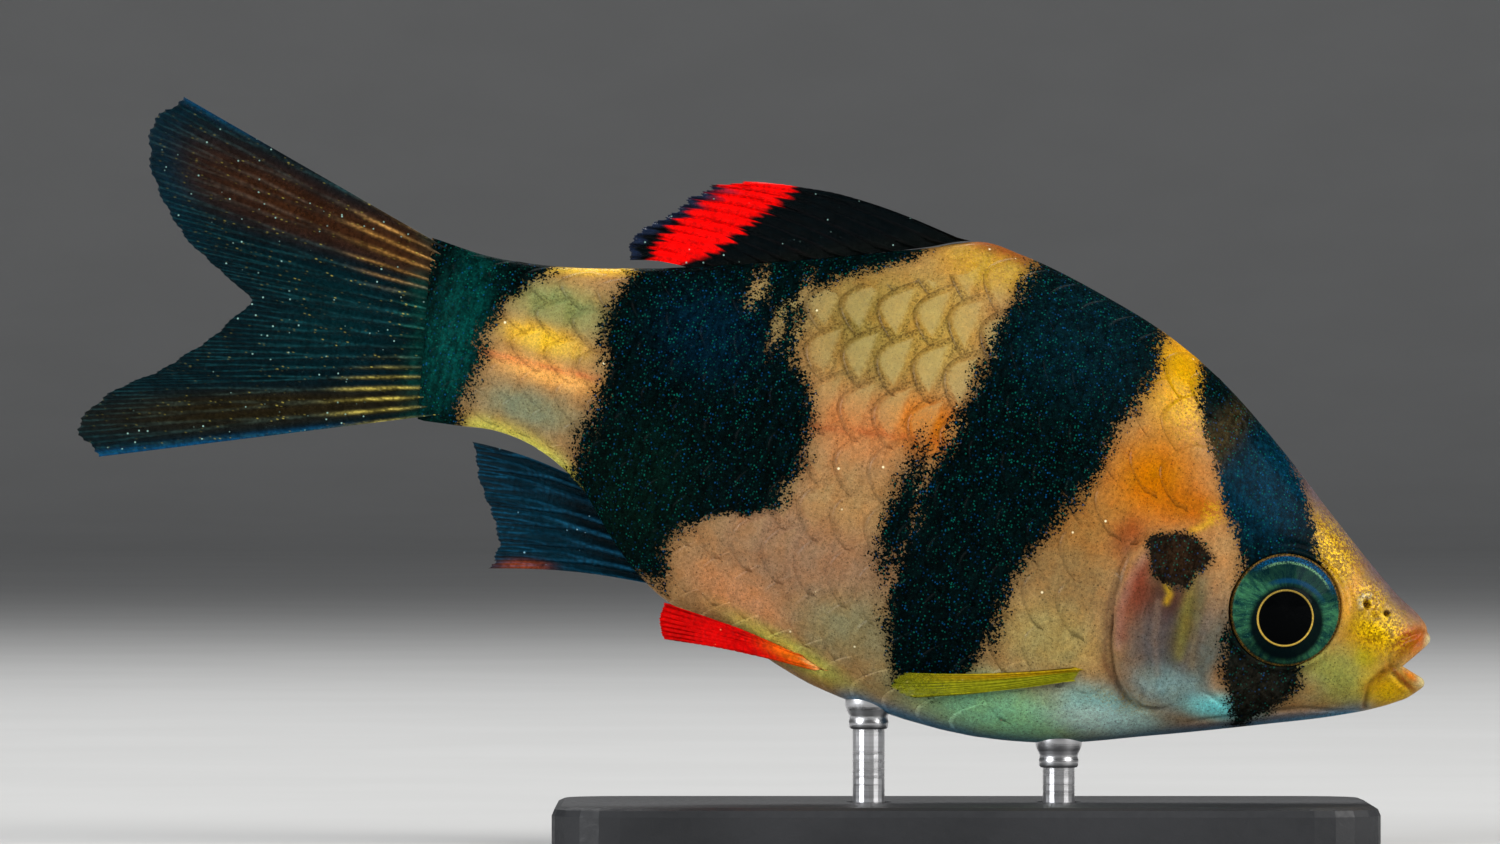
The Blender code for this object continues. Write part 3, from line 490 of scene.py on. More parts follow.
GROUND = (168, 128, 80)
WASHES = [
    ("back", 20.0, 12.0, 16.0, 1.2, 0, (150, 110, 48), 0.6),
    ("rear flank", 27.5, -3.0, 5.0, 4.5, 0, (152, 116, 88), 0.9),
    ("khaki shoulder", 27.6, 6.8, 3.2, 3.0, 0, (128, 110, 49), 0.9),
    ("pale shoulder", 25.0, 7.4, 2.4, 2.6, 0, (166, 135, 62), 0.9),
    ("gold hump", 23.3, 10.7, 2.6, 1.1, 0, (181, 145, 56), 0.9),
    ("orange band", 23.9, 3.1, 2.0, 1.3, 0, (212, 115, 2), 0.95),
    ("tan band", 27.0, 2.1, 2.4, 1.5, 0, (189, 118, 66), 0.85),
    ("pink flank", 25.8, -0.9, 3.2, 1.6, 0, (171, 130, 79), 0.8),
    ("grey keel", 24.7, -6.3, 2.8, 1.5, -12, (139, 138, 99), 0.8),
    ("rose rear", 29.8, -6.4, 2.6, 1.0, 14, (206, 144, 96), 0.85),
    ("gold keel", 26.8, -8.0, 3.2, 0.5, 14, (196, 198, 84), 0.8),
    ("tan breast", 16.3, 1.0, 2.4, 2.4, 0, (150, 105, 49), 0.85),
    ("rose breast", 16.2, -1.6, 2.6, 1.6, 0, (135, 109, 67), 0.8),
    ("gold breast", 16.2, -4.2, 2.6, 1.6, 0, (164, 149, 89), 0.85),
    ("sea-green belly", 17.5, -7.9, 4.2, 1.5, 0, (149, 225, 171), 0.9),
    ("teal throat", 12.9, -6.4, 2.4, 1.0, 0, (144, 216, 214), 0.85),
    ("orange nape", 13.9, 3.9, 2.4, 2.3, -20, (184, 106, 0), 1.0),
    ("orange over the cover", 11.9, 3.2, 1.7, 0.9, -10, (168, 92, 0), 0.9),
    ("yellow nape", 14.0, 8.6, 1.9, 2.4, -20, (209, 150, 0), 1.0),
    ("cover", 11.2, -2.6, 2.3, 3.0, 0, (79, 78, 80), 1.0),
    ("cover rose", 11.9, -0.9, 1.3, 1.2, 0, (60, 22, 12), 0.78),
    ("cover olive", 10.6, -1.6, 0.55, 1.9, 4, (80, 75, 31), 0.8),
    ("cover violet", 9.3, -2.6, 0.6, 2.2, 6, (85, 101, 97), 0.8),
    ("cover teal", 10.2, -4.7, 2.0, 0.9, 0, (128, 169, 170), 0.8),
    ("red crescent", 13.1, -1.0, 0.55, 1.4, -4, (104, 40, 26), 0.7),
    ("red above the crescent", 14.2, 1.2, 0.7, 1.0, 20, (118, 30, 5), 0.6),
    ("cheek", 3.6, -2.0, 2.6, 1.4, 0, (138, 149, 75), 0.95),
    ("cheek rose", 5.0, -3.0, 1.2, 0.8, 0, (158, 134, 94), 0.6),
    ("snout gold", 2.6, 0.3, 1.7, 1.4, 0, (166, 134, 0), 1.0),
    ("forehead gold", 5.3, 3.1, 2.1, 1.2, 38, (158, 120, 0), 1.0),
    ("jaw gold", 1.2, -2.0, 1.3, 0.9, 0, (197, 157, 0), 1.0),
    # these two lighten the shaded underside of the throat with painted light, over its own pale teal colour
    ("pale throat with painted light", 7.9, -4.8, 1.6, 0.55, -14, (132, 253, 255), 0.92),
    ("teal underside with painted light", 12.7, -6.9, 2.4, 0.7, -10, (200, 236, 226), 0.9),
    ("lip line", 0.75, -1.35, 0.9, 0.14, 28, (128, 48, 10), 0.85),
    ("upper lip", 0.85, 0.5, 0.75, 0.6, -40, (164, 74, 0), 1.0),
    ("gold beside the eye", 4.15, 1.3, 0.42, 1.5, 8, (206, 150, 54), 0.7),
    ("green under the gold", 2.6, -0.9, 0.55, 0.5, 0, (156, 148, 8), 0.7),
    ("violet over the lip", 1.15, 1.75, 0.7, 0.32, 40, (124, 92, 84), 0.85),
    ("upper lip's tip", 0.1, 0.72, 0.26, 0.5, 0, (186, 176, 132), 0.8),
    ("lower lip's tip", -0.05, -1.2, 0.34, 0.26, 0, (190, 180, 130), 0.8),
    ("lower lip's top", 0.5, -1.1, 0.4, 0.16, 20, (206, 112, 10), 0.8),
    ("grey leaves", 31.9, 6.3, 1.5, 1.7, 0, (163, 146, 95), 0.95),
    # these two darken the nostril openings with painted shade
    ("painted shade in the nostril slit", 3.3, 1.34, 0.22, 0.2, 0, (70, 34, 12), 0.9),
    ("painted shade in the front nostril", 2.3, 1.24, 0.17, 0.15, 0, (66, 56, 48), 0.85),
    ("green tail stem", 40.9, 3.5, 2.6, 1.1, 0, (115, 134, 81), 0.9),
    ("gold tail stem", 41.2, 1.9, 1.8, 0.6, 0, (250, 196, 54), 1.0),
    ("rose line", 40.6, 0.55, 2.4, 0.55, 0, (250, 178, 92), 0.95),
    ("grey tail stem", 40.8, -1.2, 2.6, 0.9, 0, (123, 135, 107), 0.9),
]  # name, s and z, reach along and up, lean in degrees, colour as seen, strength
EDGE_WASHES = [
    ("forehead rim", "back", 1.0, 10.0, 0.75, (92, 80, 84), 1.0),
    ("hump edge", "back", 21.5, 27.5, 0.42, (128, 58, 22), 0.85),
    ("tail stem's upper edge", "back", 37.5, 43.0, 0.27, (228, 184, 58), 0.95),
    ("tail stem's lower edge", "belly", 36.6, 43.4, 0.45, (228, 220, 98), 0.95),
    # a painted blue sheen along the belly's lower edge, as rim light would give
    ("painted blue sheen on the keel", "belly", 2.0, 24.0, 0.4, (70, 138, 176), 0.95),
]
BAR_INK = (1, 10, 10)
BAR_WASHES = [
    ("eye bar blue", 9.0, 5.0, 2.4, 2.6, 20, (1, 36, 52), 1.0),
    ("eye bar rear", 11.6, 6.2, 0.8, 2.2, 20, (46, 36, 14), 0.9),
    ("under the eye", 7.0, -3.6, 2.0, 1.6, 0, (30, 28, 22), 0.9),
    ("shoulder bar top", 18.5, 8.6, 3.2, 2.8, 0, (2, 22, 28), 0.9),
    ("flank bar blue", 34.4, 4.2, 2.4, 2.0, 0, (1, 20, 32), 0.9),
    ("flank bar green", 35.2, -3.2, 2.4, 3.0, 0, (2, 19, 13), 0.8),
    ("tail bar teal", 45.0, 1.0, 1.2, 3.6, 0, (2, 57, 52), 0.9),
    ("gill spot", 11.8, 0.9, 1.4, 1.3, 0, (34, 22, 13), 1.0),
]


LINE_WASHES = [
    ("side line", [(22.2, 2.85), (24.0, 2.6), (26.2, 2.2), (29.4, 1.6)], 0.13, (176, 84, 40), 0.55),
    ("side line on the tail stem", [(38.4, 0.95), (41.0, 0.75), (43.8, 0.6)], 0.14, (214, 100, 66), 0.5),
    ("gold dash under the spot", [(12.0, -0.35), (11.7, -0.75), (11.75, -1.1)], 0.15, (196, 160, 24), 0.6),
    ("gold dash over the spot", [(11.6, 2.2), (11.2, 2.5), (10.9, 2.9)], 0.15, (216, 170, 30), 0.6),
    ("cover's pale streak", [(13.0, 1.1), (13.5, -0.3), (13.6, -2.0), (13.2, -3.6)], 0.2, (176, 140, 118), 0.55),
    ("rose along the cover's edge", [(13.1, 0.2), (13.5, -1.0), (13.5, -2.1), (13.2, -3.1)], 0.36, (124, 50, 38), 0.5),
    ("cover's rear shadow", [(14.1, 0.6), (14.15, -2.0), (13.6, -4.4), (12.2, -5.8)], 0.16, (92, 60, 44), 0.5),
    ("cover's ray", [(11.0, 0.4), (10.8, -1.4), (10.5, -3.2)], 0.24, (140, 134, 60), 0.4),
    ("cover's second ray", [(10.5, 0.2), (10.2, -1.6), (9.9, -3.4)], 0.18, (132, 128, 96), 0.3),
    ("cover's third ray", [(12.1, -1.2), (11.8, -2.8), (11.2, -4.2)], 0.18, (142, 120, 100), 0.3),
    ("mouth fold", [(1.25, -0.95), (1.85, -1.4), (2.2, -2.1), (2.05, -3.0)], 0.13, (110, 70, 16), 0.55),
    ("jaw's brown band", [(0.95, 0.3), (1.1, -0.1), (1.5, -0.9), (1.85, -1.6)], 0.26, (128, 82, 6), 0.7),
    ("nostril flap", [(3.5, 1.2), (3.62, 1.45), (3.5, 1.7), (3.25, 1.76)], 0.11, (206, 200, 164), 0.85),
    ("upper lip's edge", [(0.2, 0.95), (0.75, 0.95), (1.25, 0.5), (1.7, -0.25)], 0.11, (120, 60, 16), 0.5),
]


def seen(colour):
    """A colour as seen in daylight, 0 to 255, as the pigment that shows it."""
    share = np.array(colour, float) / 255
    return np.where(share < 0.04045, share / 12.92, ((share + 0.055) / 1.055) ** 2.4)


def washed(ground, washes, s, z):
    """The ground colour with soft oval washes laid over it in turn."""
    colour = np.broadcast_to(seen(ground), (*np.shape(s), 3)).copy()
    for _, middle_s, middle_z, long, high, lean, wash, strength in washes:
        turn = math.radians(lean)
        along = (s - middle_s) * math.cos(turn) + (z - middle_z) * math.sin(turn)
        up = (z - middle_z) * math.cos(turn) - (s - middle_s) * math.sin(turn)
        share = strength * hill(np.hypot(along / long, up / high) ** 1.5, 1.0)
        colour += (seen(wash) - colour) * share[..., None]
    return colour


def ground_colour(s, z):
    colour = washed(GROUND, WASHES, s, z)
    for _, edge, start, end, reach, wash, strength in EDGE_WASHES:
        line = back(s) if edge == "back" else belly(s)
        inside = rise(s, start - 0.8, start + 0.8) * (1 - rise(s, end - 0.8, end + 0.8))
        share = strength * inside * hill(z - line, reach)
        colour += (seen(wash) - colour) * share[..., None]
    for _, line, reach, wash, strength in LINE_WASHES:
        share = strength * hill(line_distance(s, z, line), reach)
        colour += (seen(wash) - colour) * share[..., None]
    return colour


def bar_depth(s, z):
    """How deep inside a dark bar a place lies, in millimetres, below 0 outside all of them."""
    depth = np.full(np.shape(s), -9.0)
    for bar_name, edges in BARS.items():
        front, rear = curve_through(edges["front"]), curve_through(edges["rear"])
        low, high = edges["front"][0][0], edges["front"][-1][0]
        within = np.minimum(s - front(z), rear(z) - s) * 0.85
        within = np.minimum(within, np.minimum(z - low, high + 1.5 - z))
        depth = np.maximum(depth, within * EDGE_SHARPNESS.get(bar_name, 1.0))
    for middle_s, middle_z, long, high in PALE_NOTCHES:
        depth = np.minimum(depth, (np.hypot((s - middle_s) / long, (z - middle_z) / high) - 1) * 0.6)
    for (middle_s, middle_z, long, high), sharpness in ((GILL_SPOT, EDGE_SHARPNESS["gill spot"]), (REAR_WEDGE, 1.0)):
        turn = np.arctan2(z - middle_z, s - middle_s)
        lobed = 1 + 0.09 * np.sin(3 * turn + 0.2) + 0.05 * np.sin(5 * turn)
        within = (lobed - np.hypot((s - middle_s) / long, (z - middle_z) / high)) * long
        depth = np.maximum(depth, within * sharpness)
    return depth


GOLD_GRAINS = [
    (5.5, 3.2, 1.7, 1.0, 38, 1.0), (2.4, 0.4, 1.3, 1.1, 0, 1.0), (3.2, 1.6, 0.9, 0.7, 30, 1.0),
    (10.9, 3.2, 0.6, 0.5, 0, 0.6), (13.2, 7.6, 1.2, 1.6, -20, 0.7), (12.4, -5.9, 1.6, 0.5, 0, 0.3),
    (23.3, 10.6, 2.0, 0.8, 0, 0.4), (41.0, 1.8, 1.8, 0.6, 0, 0.4), (1.2, -2.0, 1.0, 0.7, 0, 0.5),
]
RIM_ZONES = [(25.6, 6.5, 5.5, 4.0, 0, 1.0), (41.0, 2.6, 3.2, 2.2, 0, 0.5), (29.5, -1.0, 4.0, 3.0, 0, 0.3)]


def strength_of(zones, s, z):
    total = np.zeros(np.shape(s))
    for middle_s, middle_z, long, high, lean, strength in zones:
        turn = math.radians(lean)
        along = (s - middle_s) * math.cos(turn) + (z - middle_z) * math.sin(turn)
        up = (z - middle_z) * math.cos(turn) - (s - middle_s) * math.sin(turn)
        total = np.maximum(total, strength * hill(np.hypot(along / long, up / high) ** 1.5, 1.0))
    return total


def markings(s, z):
    """What every point of skin and scale keeps about its colours."""
    return {
        "ground": ground_colour(s, z),
        "ink": washed(BAR_INK, BAR_WASHES, s, z),
        "bar": bar_depth(s, z),
        "grains": strength_of(GOLD_GRAINS, s, z),
        "rims": strength_of(RIM_ZONES, s, z),
    }


for name, edges in BARS.items():
    print(name, "is", round(float(np.mean([r[1] for r in edges["rear"]]) - np.mean([f[1] for f in edges["front"]])), 1),
          "mm wide on average")

# %% [markdown]
# ## Nodes in plain words
# A material is a graph of small steps. Placing each by hand in the editor is fine for one surface, but the
# same few steps come back in the skin, the fins, the eyes and the stand. So they get short names here, and each
# material below reads almost like a recipe.

# %% Helpers for materials
class Nodes:
    """Short names for the node steps that these materials repeat."""

    def __init__(self, name):
        self.material = bpy.data.materials.new(name)
        self.material.use_nodes = True
        self.tree = self.material.node_tree
        self.shader = self.tree.nodes["Principled BSDF"]

    def put(self, target, value):
        if isinstance(value, bpy.types.NodeSocket):
            self.tree.links.new(value, target)
        elif isinstance(value, (tuple, list, np.ndarray)) and len(value) == 3 and target.type == "RGBA":
            target.default_value = (*value, 1.0)
        else:
            target.default_value = value

    def fact(self, name, kind="Fac"):
        node = self.tree.nodes.new("ShaderNodeAttribute")
        node.attribute_name = name
        return node.outputs[kind]

    def math(self, operation, *values):
        node = self.tree.nodes.new("ShaderNodeMath")
        node.operation = operation
        for socket, value in zip(node.inputs, values):
            self.put(socket, value)
        return node.outputs[0]

    def noise(self, place, scale, detail=3.0, roughness=0.55):
        node = self.tree.nodes.new("ShaderNodeTexNoise")
        self.put(node.inputs["Vector"], place)
        node.inputs["Scale"].default_value = scale
        node.inputs["Detail"].default_value = detail
        node.inputs["Roughness"].default_value = roughness
        return node.outputs["Fac"]

    def stretched(self, place, scale):
        node = self.tree.nodes.new("ShaderNodeVectorMath")
        node.operation = "MULTIPLY"
        self.put(node.inputs[0], place)
        node.inputs[1].default_value = scale
        return node.outputs[0]

    def cells(self, place, scale):
        """Scattered cells: the distance from the nearest one's middle, and a chance colour for each."""
        node = self.tree.nodes.new("ShaderNodeTexVoronoi")
        self.put(node.inputs["Vector"], place)
        node.inputs["Scale"].default_value = scale
        chance = self.tree.nodes.new("ShaderNodeSeparateColor")
        self.put(chance.inputs[0], node.outputs["Color"])
        return node.outputs["Distance"], chance.outputs[0], chance.outputs[1]

    def step(self, value, low, high, start=0.0, end=1.0):
        node = self.tree.nodes.new("ShaderNodeMapRange")
        node.interpolation_type = "SMOOTHSTEP"
        for key, number in zip(("Value", "From Min", "From Max", "To Min", "To Max"), (value, low, high, start, end)):
            self.put(node.inputs[key], number)
        return node.outputs[0]

    def mix(self, share, first, second, blend="MIX"):
        node = self.tree.nodes.new("ShaderNodeMix")
        node.data_type = "RGBA"
        node.blend_type = blend
        self.put(node.inputs[0], share)
        self.put(node.inputs[6], first)
        self.put(node.inputs[7], second)
        return node.outputs[2]

    def bump(self, height, distance, strength=1.0):
        node = self.tree.nodes.new("ShaderNodeBump")
        self.put(node.inputs["Height"], height)
        node.inputs["Distance"].default_value = distance * MM
        node.inputs["Strength"].default_value = strength
        return node.outputs["Normal"]

    def finish(self, **settings):
        for key, value in settings.items():
            self.put(self.shader.inputs[key.replace("_", " ")], value)
        return self.material


# %% [markdown]
# ## The skin's material
# A barb's skin is clear, over a layer of pigment cells. Where the cells crowd together a bar looks black, and
# at its edge they thin out to loose dots. A smooth mask would miss that. So noise frays the depth inside the
# bar, and each tiny cell of a Voronoi texture is inked or left, by chance, as the depth allows. The same kind of
# cells gives the teal specks inside the bars and the gold grains on the snout. Bars are nearly matt.

# %% The fish's coat
SPECK_TEAL = (10, 110, 92)
SPECK_BLUE = (12, 84, 140)
GRAIN_GOLD = (244, 196, 8)
GRAIN_BROWN = (104, 70, 4)
DOT_BROWN = (38, 24, 10)
# olive brown for each scale's darker rear edge: partly rim pigment, partly painted shade
RIM_OLIVE_AND_SHADE = (96, 66, 26)
HAZE_BROWN = (58, 44, 24)
SCALE_PALE = (178, 162, 106)


def coat_material(name, on_scales):
    """Pigment under a wet coat. Scales add a dotted dark rim and a darker rear edge, partly brown pigment and partly
    painted shade.
    """
    n = Nodes(name)
    place = n.fact(PLACE, "Vector")
    bar, grains = n.fact("bar"), n.fact("grains")
    coarse = n.noise(place, 1.1, 4.0)
    fine = n.noise(place, 7.0, 3.0, 0.65)
    grit = n.noise(place, 22.0, 2.0, 0.6)

    ground = n.fact("ground", "Color")
    ground = n.mix(n.step(coarse, 0.35, 0.7, 0.0, 0.35), ground, (0.62, 0.34, 0.16), "SOFT_LIGHT")
    streaky = n.noise(n.stretched(place, (3.6, 3.6, 1.1)), 1.0, 3.0, 0.6)
    shade = n.step(fine, 0.3, 0.72, 0.78, 1.16)
    shade = n.math("MULTIPLY", shade, n.step(streaky, 0.3, 0.7, 0.9, 1.1))
    shade = n.math("MULTIPLY", shade, n.step(grit, 0.3, 0.7, 0.86, 1.12))
    ground = n.mix(1.0, ground, shade, "MULTIPLY")
    from_cell, chance, _ = n.cells(place, 11.0)
    gold = n.mix(n.step(chance, 0.2, 0.7), seen(GRAIN_BROWN), seen(GRAIN_GOLD))
    granular = n.math("MULTIPLY", grains, n.step(from_cell, 0.75, 0.35, 0.0, 0.75))
    ground = n.mix(granular, ground, gold)
    from_dot, dot_chance, _ = n.cells(place, 5.2)
    sparse = n.math("MULTIPLY", n.step(from_dot, 0.26, 0.16), n.step(dot_chance, 0.7, 0.74, 0.0, 0.5))
    ground = n.mix(sparse, ground, seen(DOT_BROWN))

    frayed = n.math("ADD", bar, n.math("MULTIPLY", n.math("SUBTRACT", coarse, 0.5), 0.8))
    frayed = n.math("ADD", frayed, n.math("MULTIPLY", n.math("SUBTRACT", streaky, 0.5), 0.6))
    ground = n.mix(n.step(frayed, -1.15, 0.1, 0.0, 0.72), ground, seen(HAZE_BROWN))
    from_ink_cell, ink_chance, _ = n.cells(place, 13.0)
    hold_back = n.math("ADD", n.math("MULTIPLY", from_ink_cell, 0.35), n.math("MULTIPLY", ink_chance, 0.85))
    crowding = n.step(frayed, -1.1, 0.38, 0.0, 1.25)
    inked = n.step(n.math("SUBTRACT", crowding, hold_back), -0.12, 0.16)
    ink = n.fact("ink", "Color")
    from_speck, speck_chance, speck_kind = n.cells(place, 8.5)
    speck = n.math("MULTIPLY", n.step(from_speck, 0.44, 0.22), n.step(speck_chance, 0.3, 0.95, 0.0, 0.36))
    speck = n.math("MULTIPLY", speck, n.step(n.noise(place, 2.2, 3.0), 0.36, 0.64, 0.3, 1.7))
    ink = n.mix(1.0, ink, n.step(fine, 0.3, 0.75, 0.55, 1.7), "MULTIPLY")
    ink = n.mix(1.0, ink, n.step(streaky, 0.35, 0.65, 0.6, 1.35), "MULTIPLY")
    ink = n.mix(speck, ink, n.mix(n.step(speck_kind, 0.6, 0.7), seen(SPECK_TEAL), seen(SPECK_BLUE)))
    from_grain, grain_chance, _ = n.cells(place, 11.0)
    grain = n.math("MULTIPLY", n.step(from_grain, 0.5, 0.3), n.step(grain_chance, 0.3, 0.9, 0.0, 0.5))
    ground = n.mix(grain, ground, n.mix(0.72, ground, seen(DOT_BROWN)))
    colour = n.mix(inked, ground, ink)

    height = n.math("ADD", n.math("MULTIPLY", fine, 0.6), n.math("MULTIPLY", grit, 0.4))
    if on_scales:
        edge, leaf, rims = n.fact("edge"), n.fact("leaf"), n.fact("rims")
        ragged = n.math("ADD", leaf, n.math("MULTIPLY", n.math("SUBTRACT", fine, 0.5), 0.34))
        outside_bar = n.math("SUBTRACT", 1.0, inked)
        # each plate's darker rear edge: partly brown rim pigment, partly painted shade where the plate lies over the
        # next
        rear_edge_pigment_and_shade = n.math("MULTIPLY", n.step(edge, 0.8, 1.0), n.math("MULTIPLY_ADD", rims, 0.3, 0.04))
        colour = n.mix(n.math("MULTIPLY", rear_edge_pigment_and_shade, outside_bar), colour, seen(RIM_OLIVE_AND_SHADE))
        pale = n.math("MULTIPLY", n.step(ragged, 0.0, 0.3, 0.0, 0.42), rims)
        colour = n.mix(n.math("MULTIPLY", pale, outside_bar), colour, seen(SCALE_PALE))
        from_dot, _, _ = n.cells(place, 9.0)
        rim_dots = n.math("MULTIPLY", n.step(from_dot, 0.6, 0.34), n.step(ragged, 0.06, -0.16))
        rim = n.math("MULTIPLY", rim_dots, n.math("MULTIPLY_ADD", rims, 0.42, 0.1))
        colour = n.mix(n.math("MULTIPLY", rim, outside_bar), colour, seen(DOT_BROWN))
        glint, glint_chance, _ = n.cells(place, 1.7)
        glints = n.math("MULTIPLY", n.step(glint, 0.13, 0.05), n.step(glint_chance, 0.82, 0.84))
        colour = n.mix(n.math("MULTIPLY", glints, outside_bar), colour, (1.0, 0.86, 0.5))
    metal = n.math("MULTIPLY", grains, n.step(chance, 0.5, 0.9, 0.0, 0.4))
    return n.finish(
        Base_Color=colour,
        Roughness=n.step(fine, 0.3, 0.7, 0.3, 0.46),
        Metallic=metal,
        Normal=n.bump(height, 0.035),
        Coat_Weight=n.math("MULTIPLY_ADD", inked, -0.09, 0.1),
        Coat_Roughness=0.16,
        Subsurface_Weight=0.12,
        Subsurface_Radius=(1.0, 0.45, 0.22),
        Subsurface_Scale=0.0006,
        Specular_IOR_Level=0.008,
    )


skin_material = coat_material("wet_skin", False)
scale_material = coat_material("scale_coat", True)
print("materials:", skin_material.name, scale_material.name)

# %% [markdown]
# ## The skin as a piece
# The grid becomes one mesh, closed at the throat and at the root of the tail. Its bake map is the grid itself,
# laid out flat, so that no two of the grid's faces share a place on it; the closing faces all share one small square.

# %% Make the skin
BODY = "root"


def closed_by(points_in_ring, first, flip):
    """Faces that close a ring by joining its left half to its right half."""
    half = points_in_ring // 2
    left = np.arange(half)
    right = (-left) % points_in_ring
    after_left, after_right = left + 1, (-(left + 1)) % points_in_ring
    faces = np.stack([left, after_left, after_right, right], -1) + first
    faces = faces[1:-1]
    return faces[:, ::-1] if flip else faces


def grid_map(rows, columns, closed):
    """A flat bake map of a grid: one square for each face."""
    across = columns if closed else columns - 1
    row, column = np.meshgrid(np.arange(rows - 1), np.arange(across), indexing="ij")
    corners = [(row, column), (row, column + 1), (row + 1, column + 1), (row + 1, column)]
    u = np.stack([r / (rows - 1) for r, _ in corners], -1) * 0.96 + 0.01
    v = np.stack([c / across for _, c in corners], -1) * 0.96 + 0.01
    return np.stack([u, v], -1).reshape(-1, 4, 2)


def skin_piece():
    rows = len(skin_grid)
    points = skin_grid.reshape(-1, 3)
    s, y, z = -points[:, 0], points[:, 1], points[:, 2]
    caps = [closed_by(ROUND, 0, False), closed_by(ROUND, (rows - 1) * ROUND, True)]
    faces = np.concatenate([grid_faces(rows, ROUND, closed=True), *caps])
    cap_map = np.tile([[0.98, 0.98], [0.985, 0.98], [0.985, 0.985], [0.98, 0.985]], (sum(map(len, caps)), 1, 1))
    maps = np.concatenate([grid_map(rows, ROUND, True), cap_map])
    made = make_mesh("fish_skin", points, faces, markings(s, z), maps)
    made.data.materials.append(skin_material)
    return made


skin = skin_piece()
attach(skin, BODY)
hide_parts("head", "lower_jaw", "gill_cover_left", "gill_cover_right", "trunk", "tail_stem")
report(skin)

# %% [markdown]
# ## Scales
# A barb's scales are large for its size, about twenty along the side and ten rows deep. Each is a thin curved
# plate whose front is sunk in the skin and whose rear edge lies over the next one. An array along a curve
# would not follow a body that narrows, so the plates are laid in code on the skin's own surface, by distance
# along the body and round it. Each plate has its own patch of the bake map, at its place on the unrolled skin.

# %% Finding the skin by distance round the body
LATERAL = 1.5  # the angle of the middle of the side, from the top
arc_places = np.linspace(8.0, 46.3, 190)
arc_angles = np.linspace(-0.9, math.pi + 0.9, 420)
ring_points = section(arc_places[:, None], arc_angles[None, :])
ring_lengths = np.concatenate(
    [np.zeros((len(arc_places), 1)), np.cumsum(np.linalg.norm(np.diff(ring_points, axis=1), axis=-1), axis=1)], axis=1
)
lateral_lengths = np.array([np.interp(LATERAL, arc_angles, lengths) for lengths in ring_lengths])
ROUND_REACH = np.linspace(-16.0, 16.0, 321)  # upward from the middle of the side
angle_table = np.array([
    np.interp(middle - ROUND_REACH, lengths, arc_angles)
    for lengths, middle in zip(ring_lengths, lateral_lengths)
])


def reach_to(end_angle):
    """How far round the body it is from an angle to the middle of the side, as a curve along the body."""
    reaches = []
    for s, lengths in zip(arc_places[::6], ring_lengths[::6]):
        middle, end = (np.interp(angle, arc_angles, lengths) for angle in (LATERAL, end_angle))
        reaches.append((s, float(middle - end)))
    return curve_through(reaches)


top_reach, low_reach = reach_to(0.0), reach_to(math.pi)


def on_flank(s, up):
    """The bare body's left side at distance s, and that far up round it from the middle of the side."""
    row = np.interp(s, arc_places, np.arange(len(arc_places)))
    column = np.interp(up, ROUND_REACH, np.arange(len(ROUND_REACH)))
    r0, c0 = np.minimum(row.astype(int), len(arc_places) - 2), np.minimum(column.astype(int), len(ROUND_REACH) - 2)
    fr, fc = row - r0, column - c0
    angle = ((1 - fr) * ((1 - fc) * angle_table[r0, c0] + fc * angle_table[r0, c0 + 1])
             + fr * ((1 - fc) * angle_table[r0 + 1, c0] + fc * angle_table[r0 + 1, c0 + 1]))
    return section(s, angle)


print("round the side at s 20, mm:", round(float(top_reach(20.0)), 1), "up and", round(float(low_reach(20.0)), 1))

# %% [markdown]
# ## Cutting and laying the plates
# What shows of each scale is a tall leaf, because the next one covers the rest. A plate is a small closed grid:
# thicker at its sunk front, thin at its rear edge, and a little domed. The rows are shifted by half a step, as on
# the fish, and a little chance in size and place keeps them from looking stamped. On the bars they lie flatter.

# %% Scale plates
SCALE_STEP = 1.5  # from one column to the next
SCALE_LENGTH = 2.75
ROW_HEIGHT = [(9.0, 1.9), (14.0, 2.3), (26.0, 2.4), (36.0, 1.75), (46.0, 1.3)]
SCALE_OVERLAP = 1.44  # a plate's height over its row's
SCALE_LIFT = 0.115  # how far a plate rises from its sunk front to its rear edge
PLATE_ROWS, PLATE_COLUMNS = 12, 12
FRONT_LINE = [(-9.0, 15.4), (-7.5, 15.0), (-6.0, 15.0), (-4.5, 14.9), (-2.0, 14.1), (0.0, 14.15), (1.5, 14.0),
              (2.6, 13.2), (4.0, 12.0), (6.0, 11.6), (8.0, 11.0), (9.5, 10.6)]  # z, and s where scales start
row_height = curve_through(ROW_HEIGHT)
front_line = curve_through(FRONT_LINE)


def scale_places():
    """The middle of every plate on one side: its s and its distance up round the body."""
    chance = random.Random(5)
    found = []
    for row in range(-7, 8):
        for column in range(30):
            s = 9.6 + SCALE_STEP * (column + 0.5 * (row % 2))
            up = row * float(row_height(s))
            s += chance.uniform(-0.05, 0.05)
            up += chance.uniform(-0.04, 0.04)
            if s > 45.3 or up > float(top_reach(s)) - 0.25 or up < float(low_reach(s)) + 0.3:
                continue
            z = float(on_flank(np.array(s), np.array(up))[2])
            if s - SCALE_LENGTH * 0.2 > float(front_line(z)):
                found.append((row, s, up))
    return found


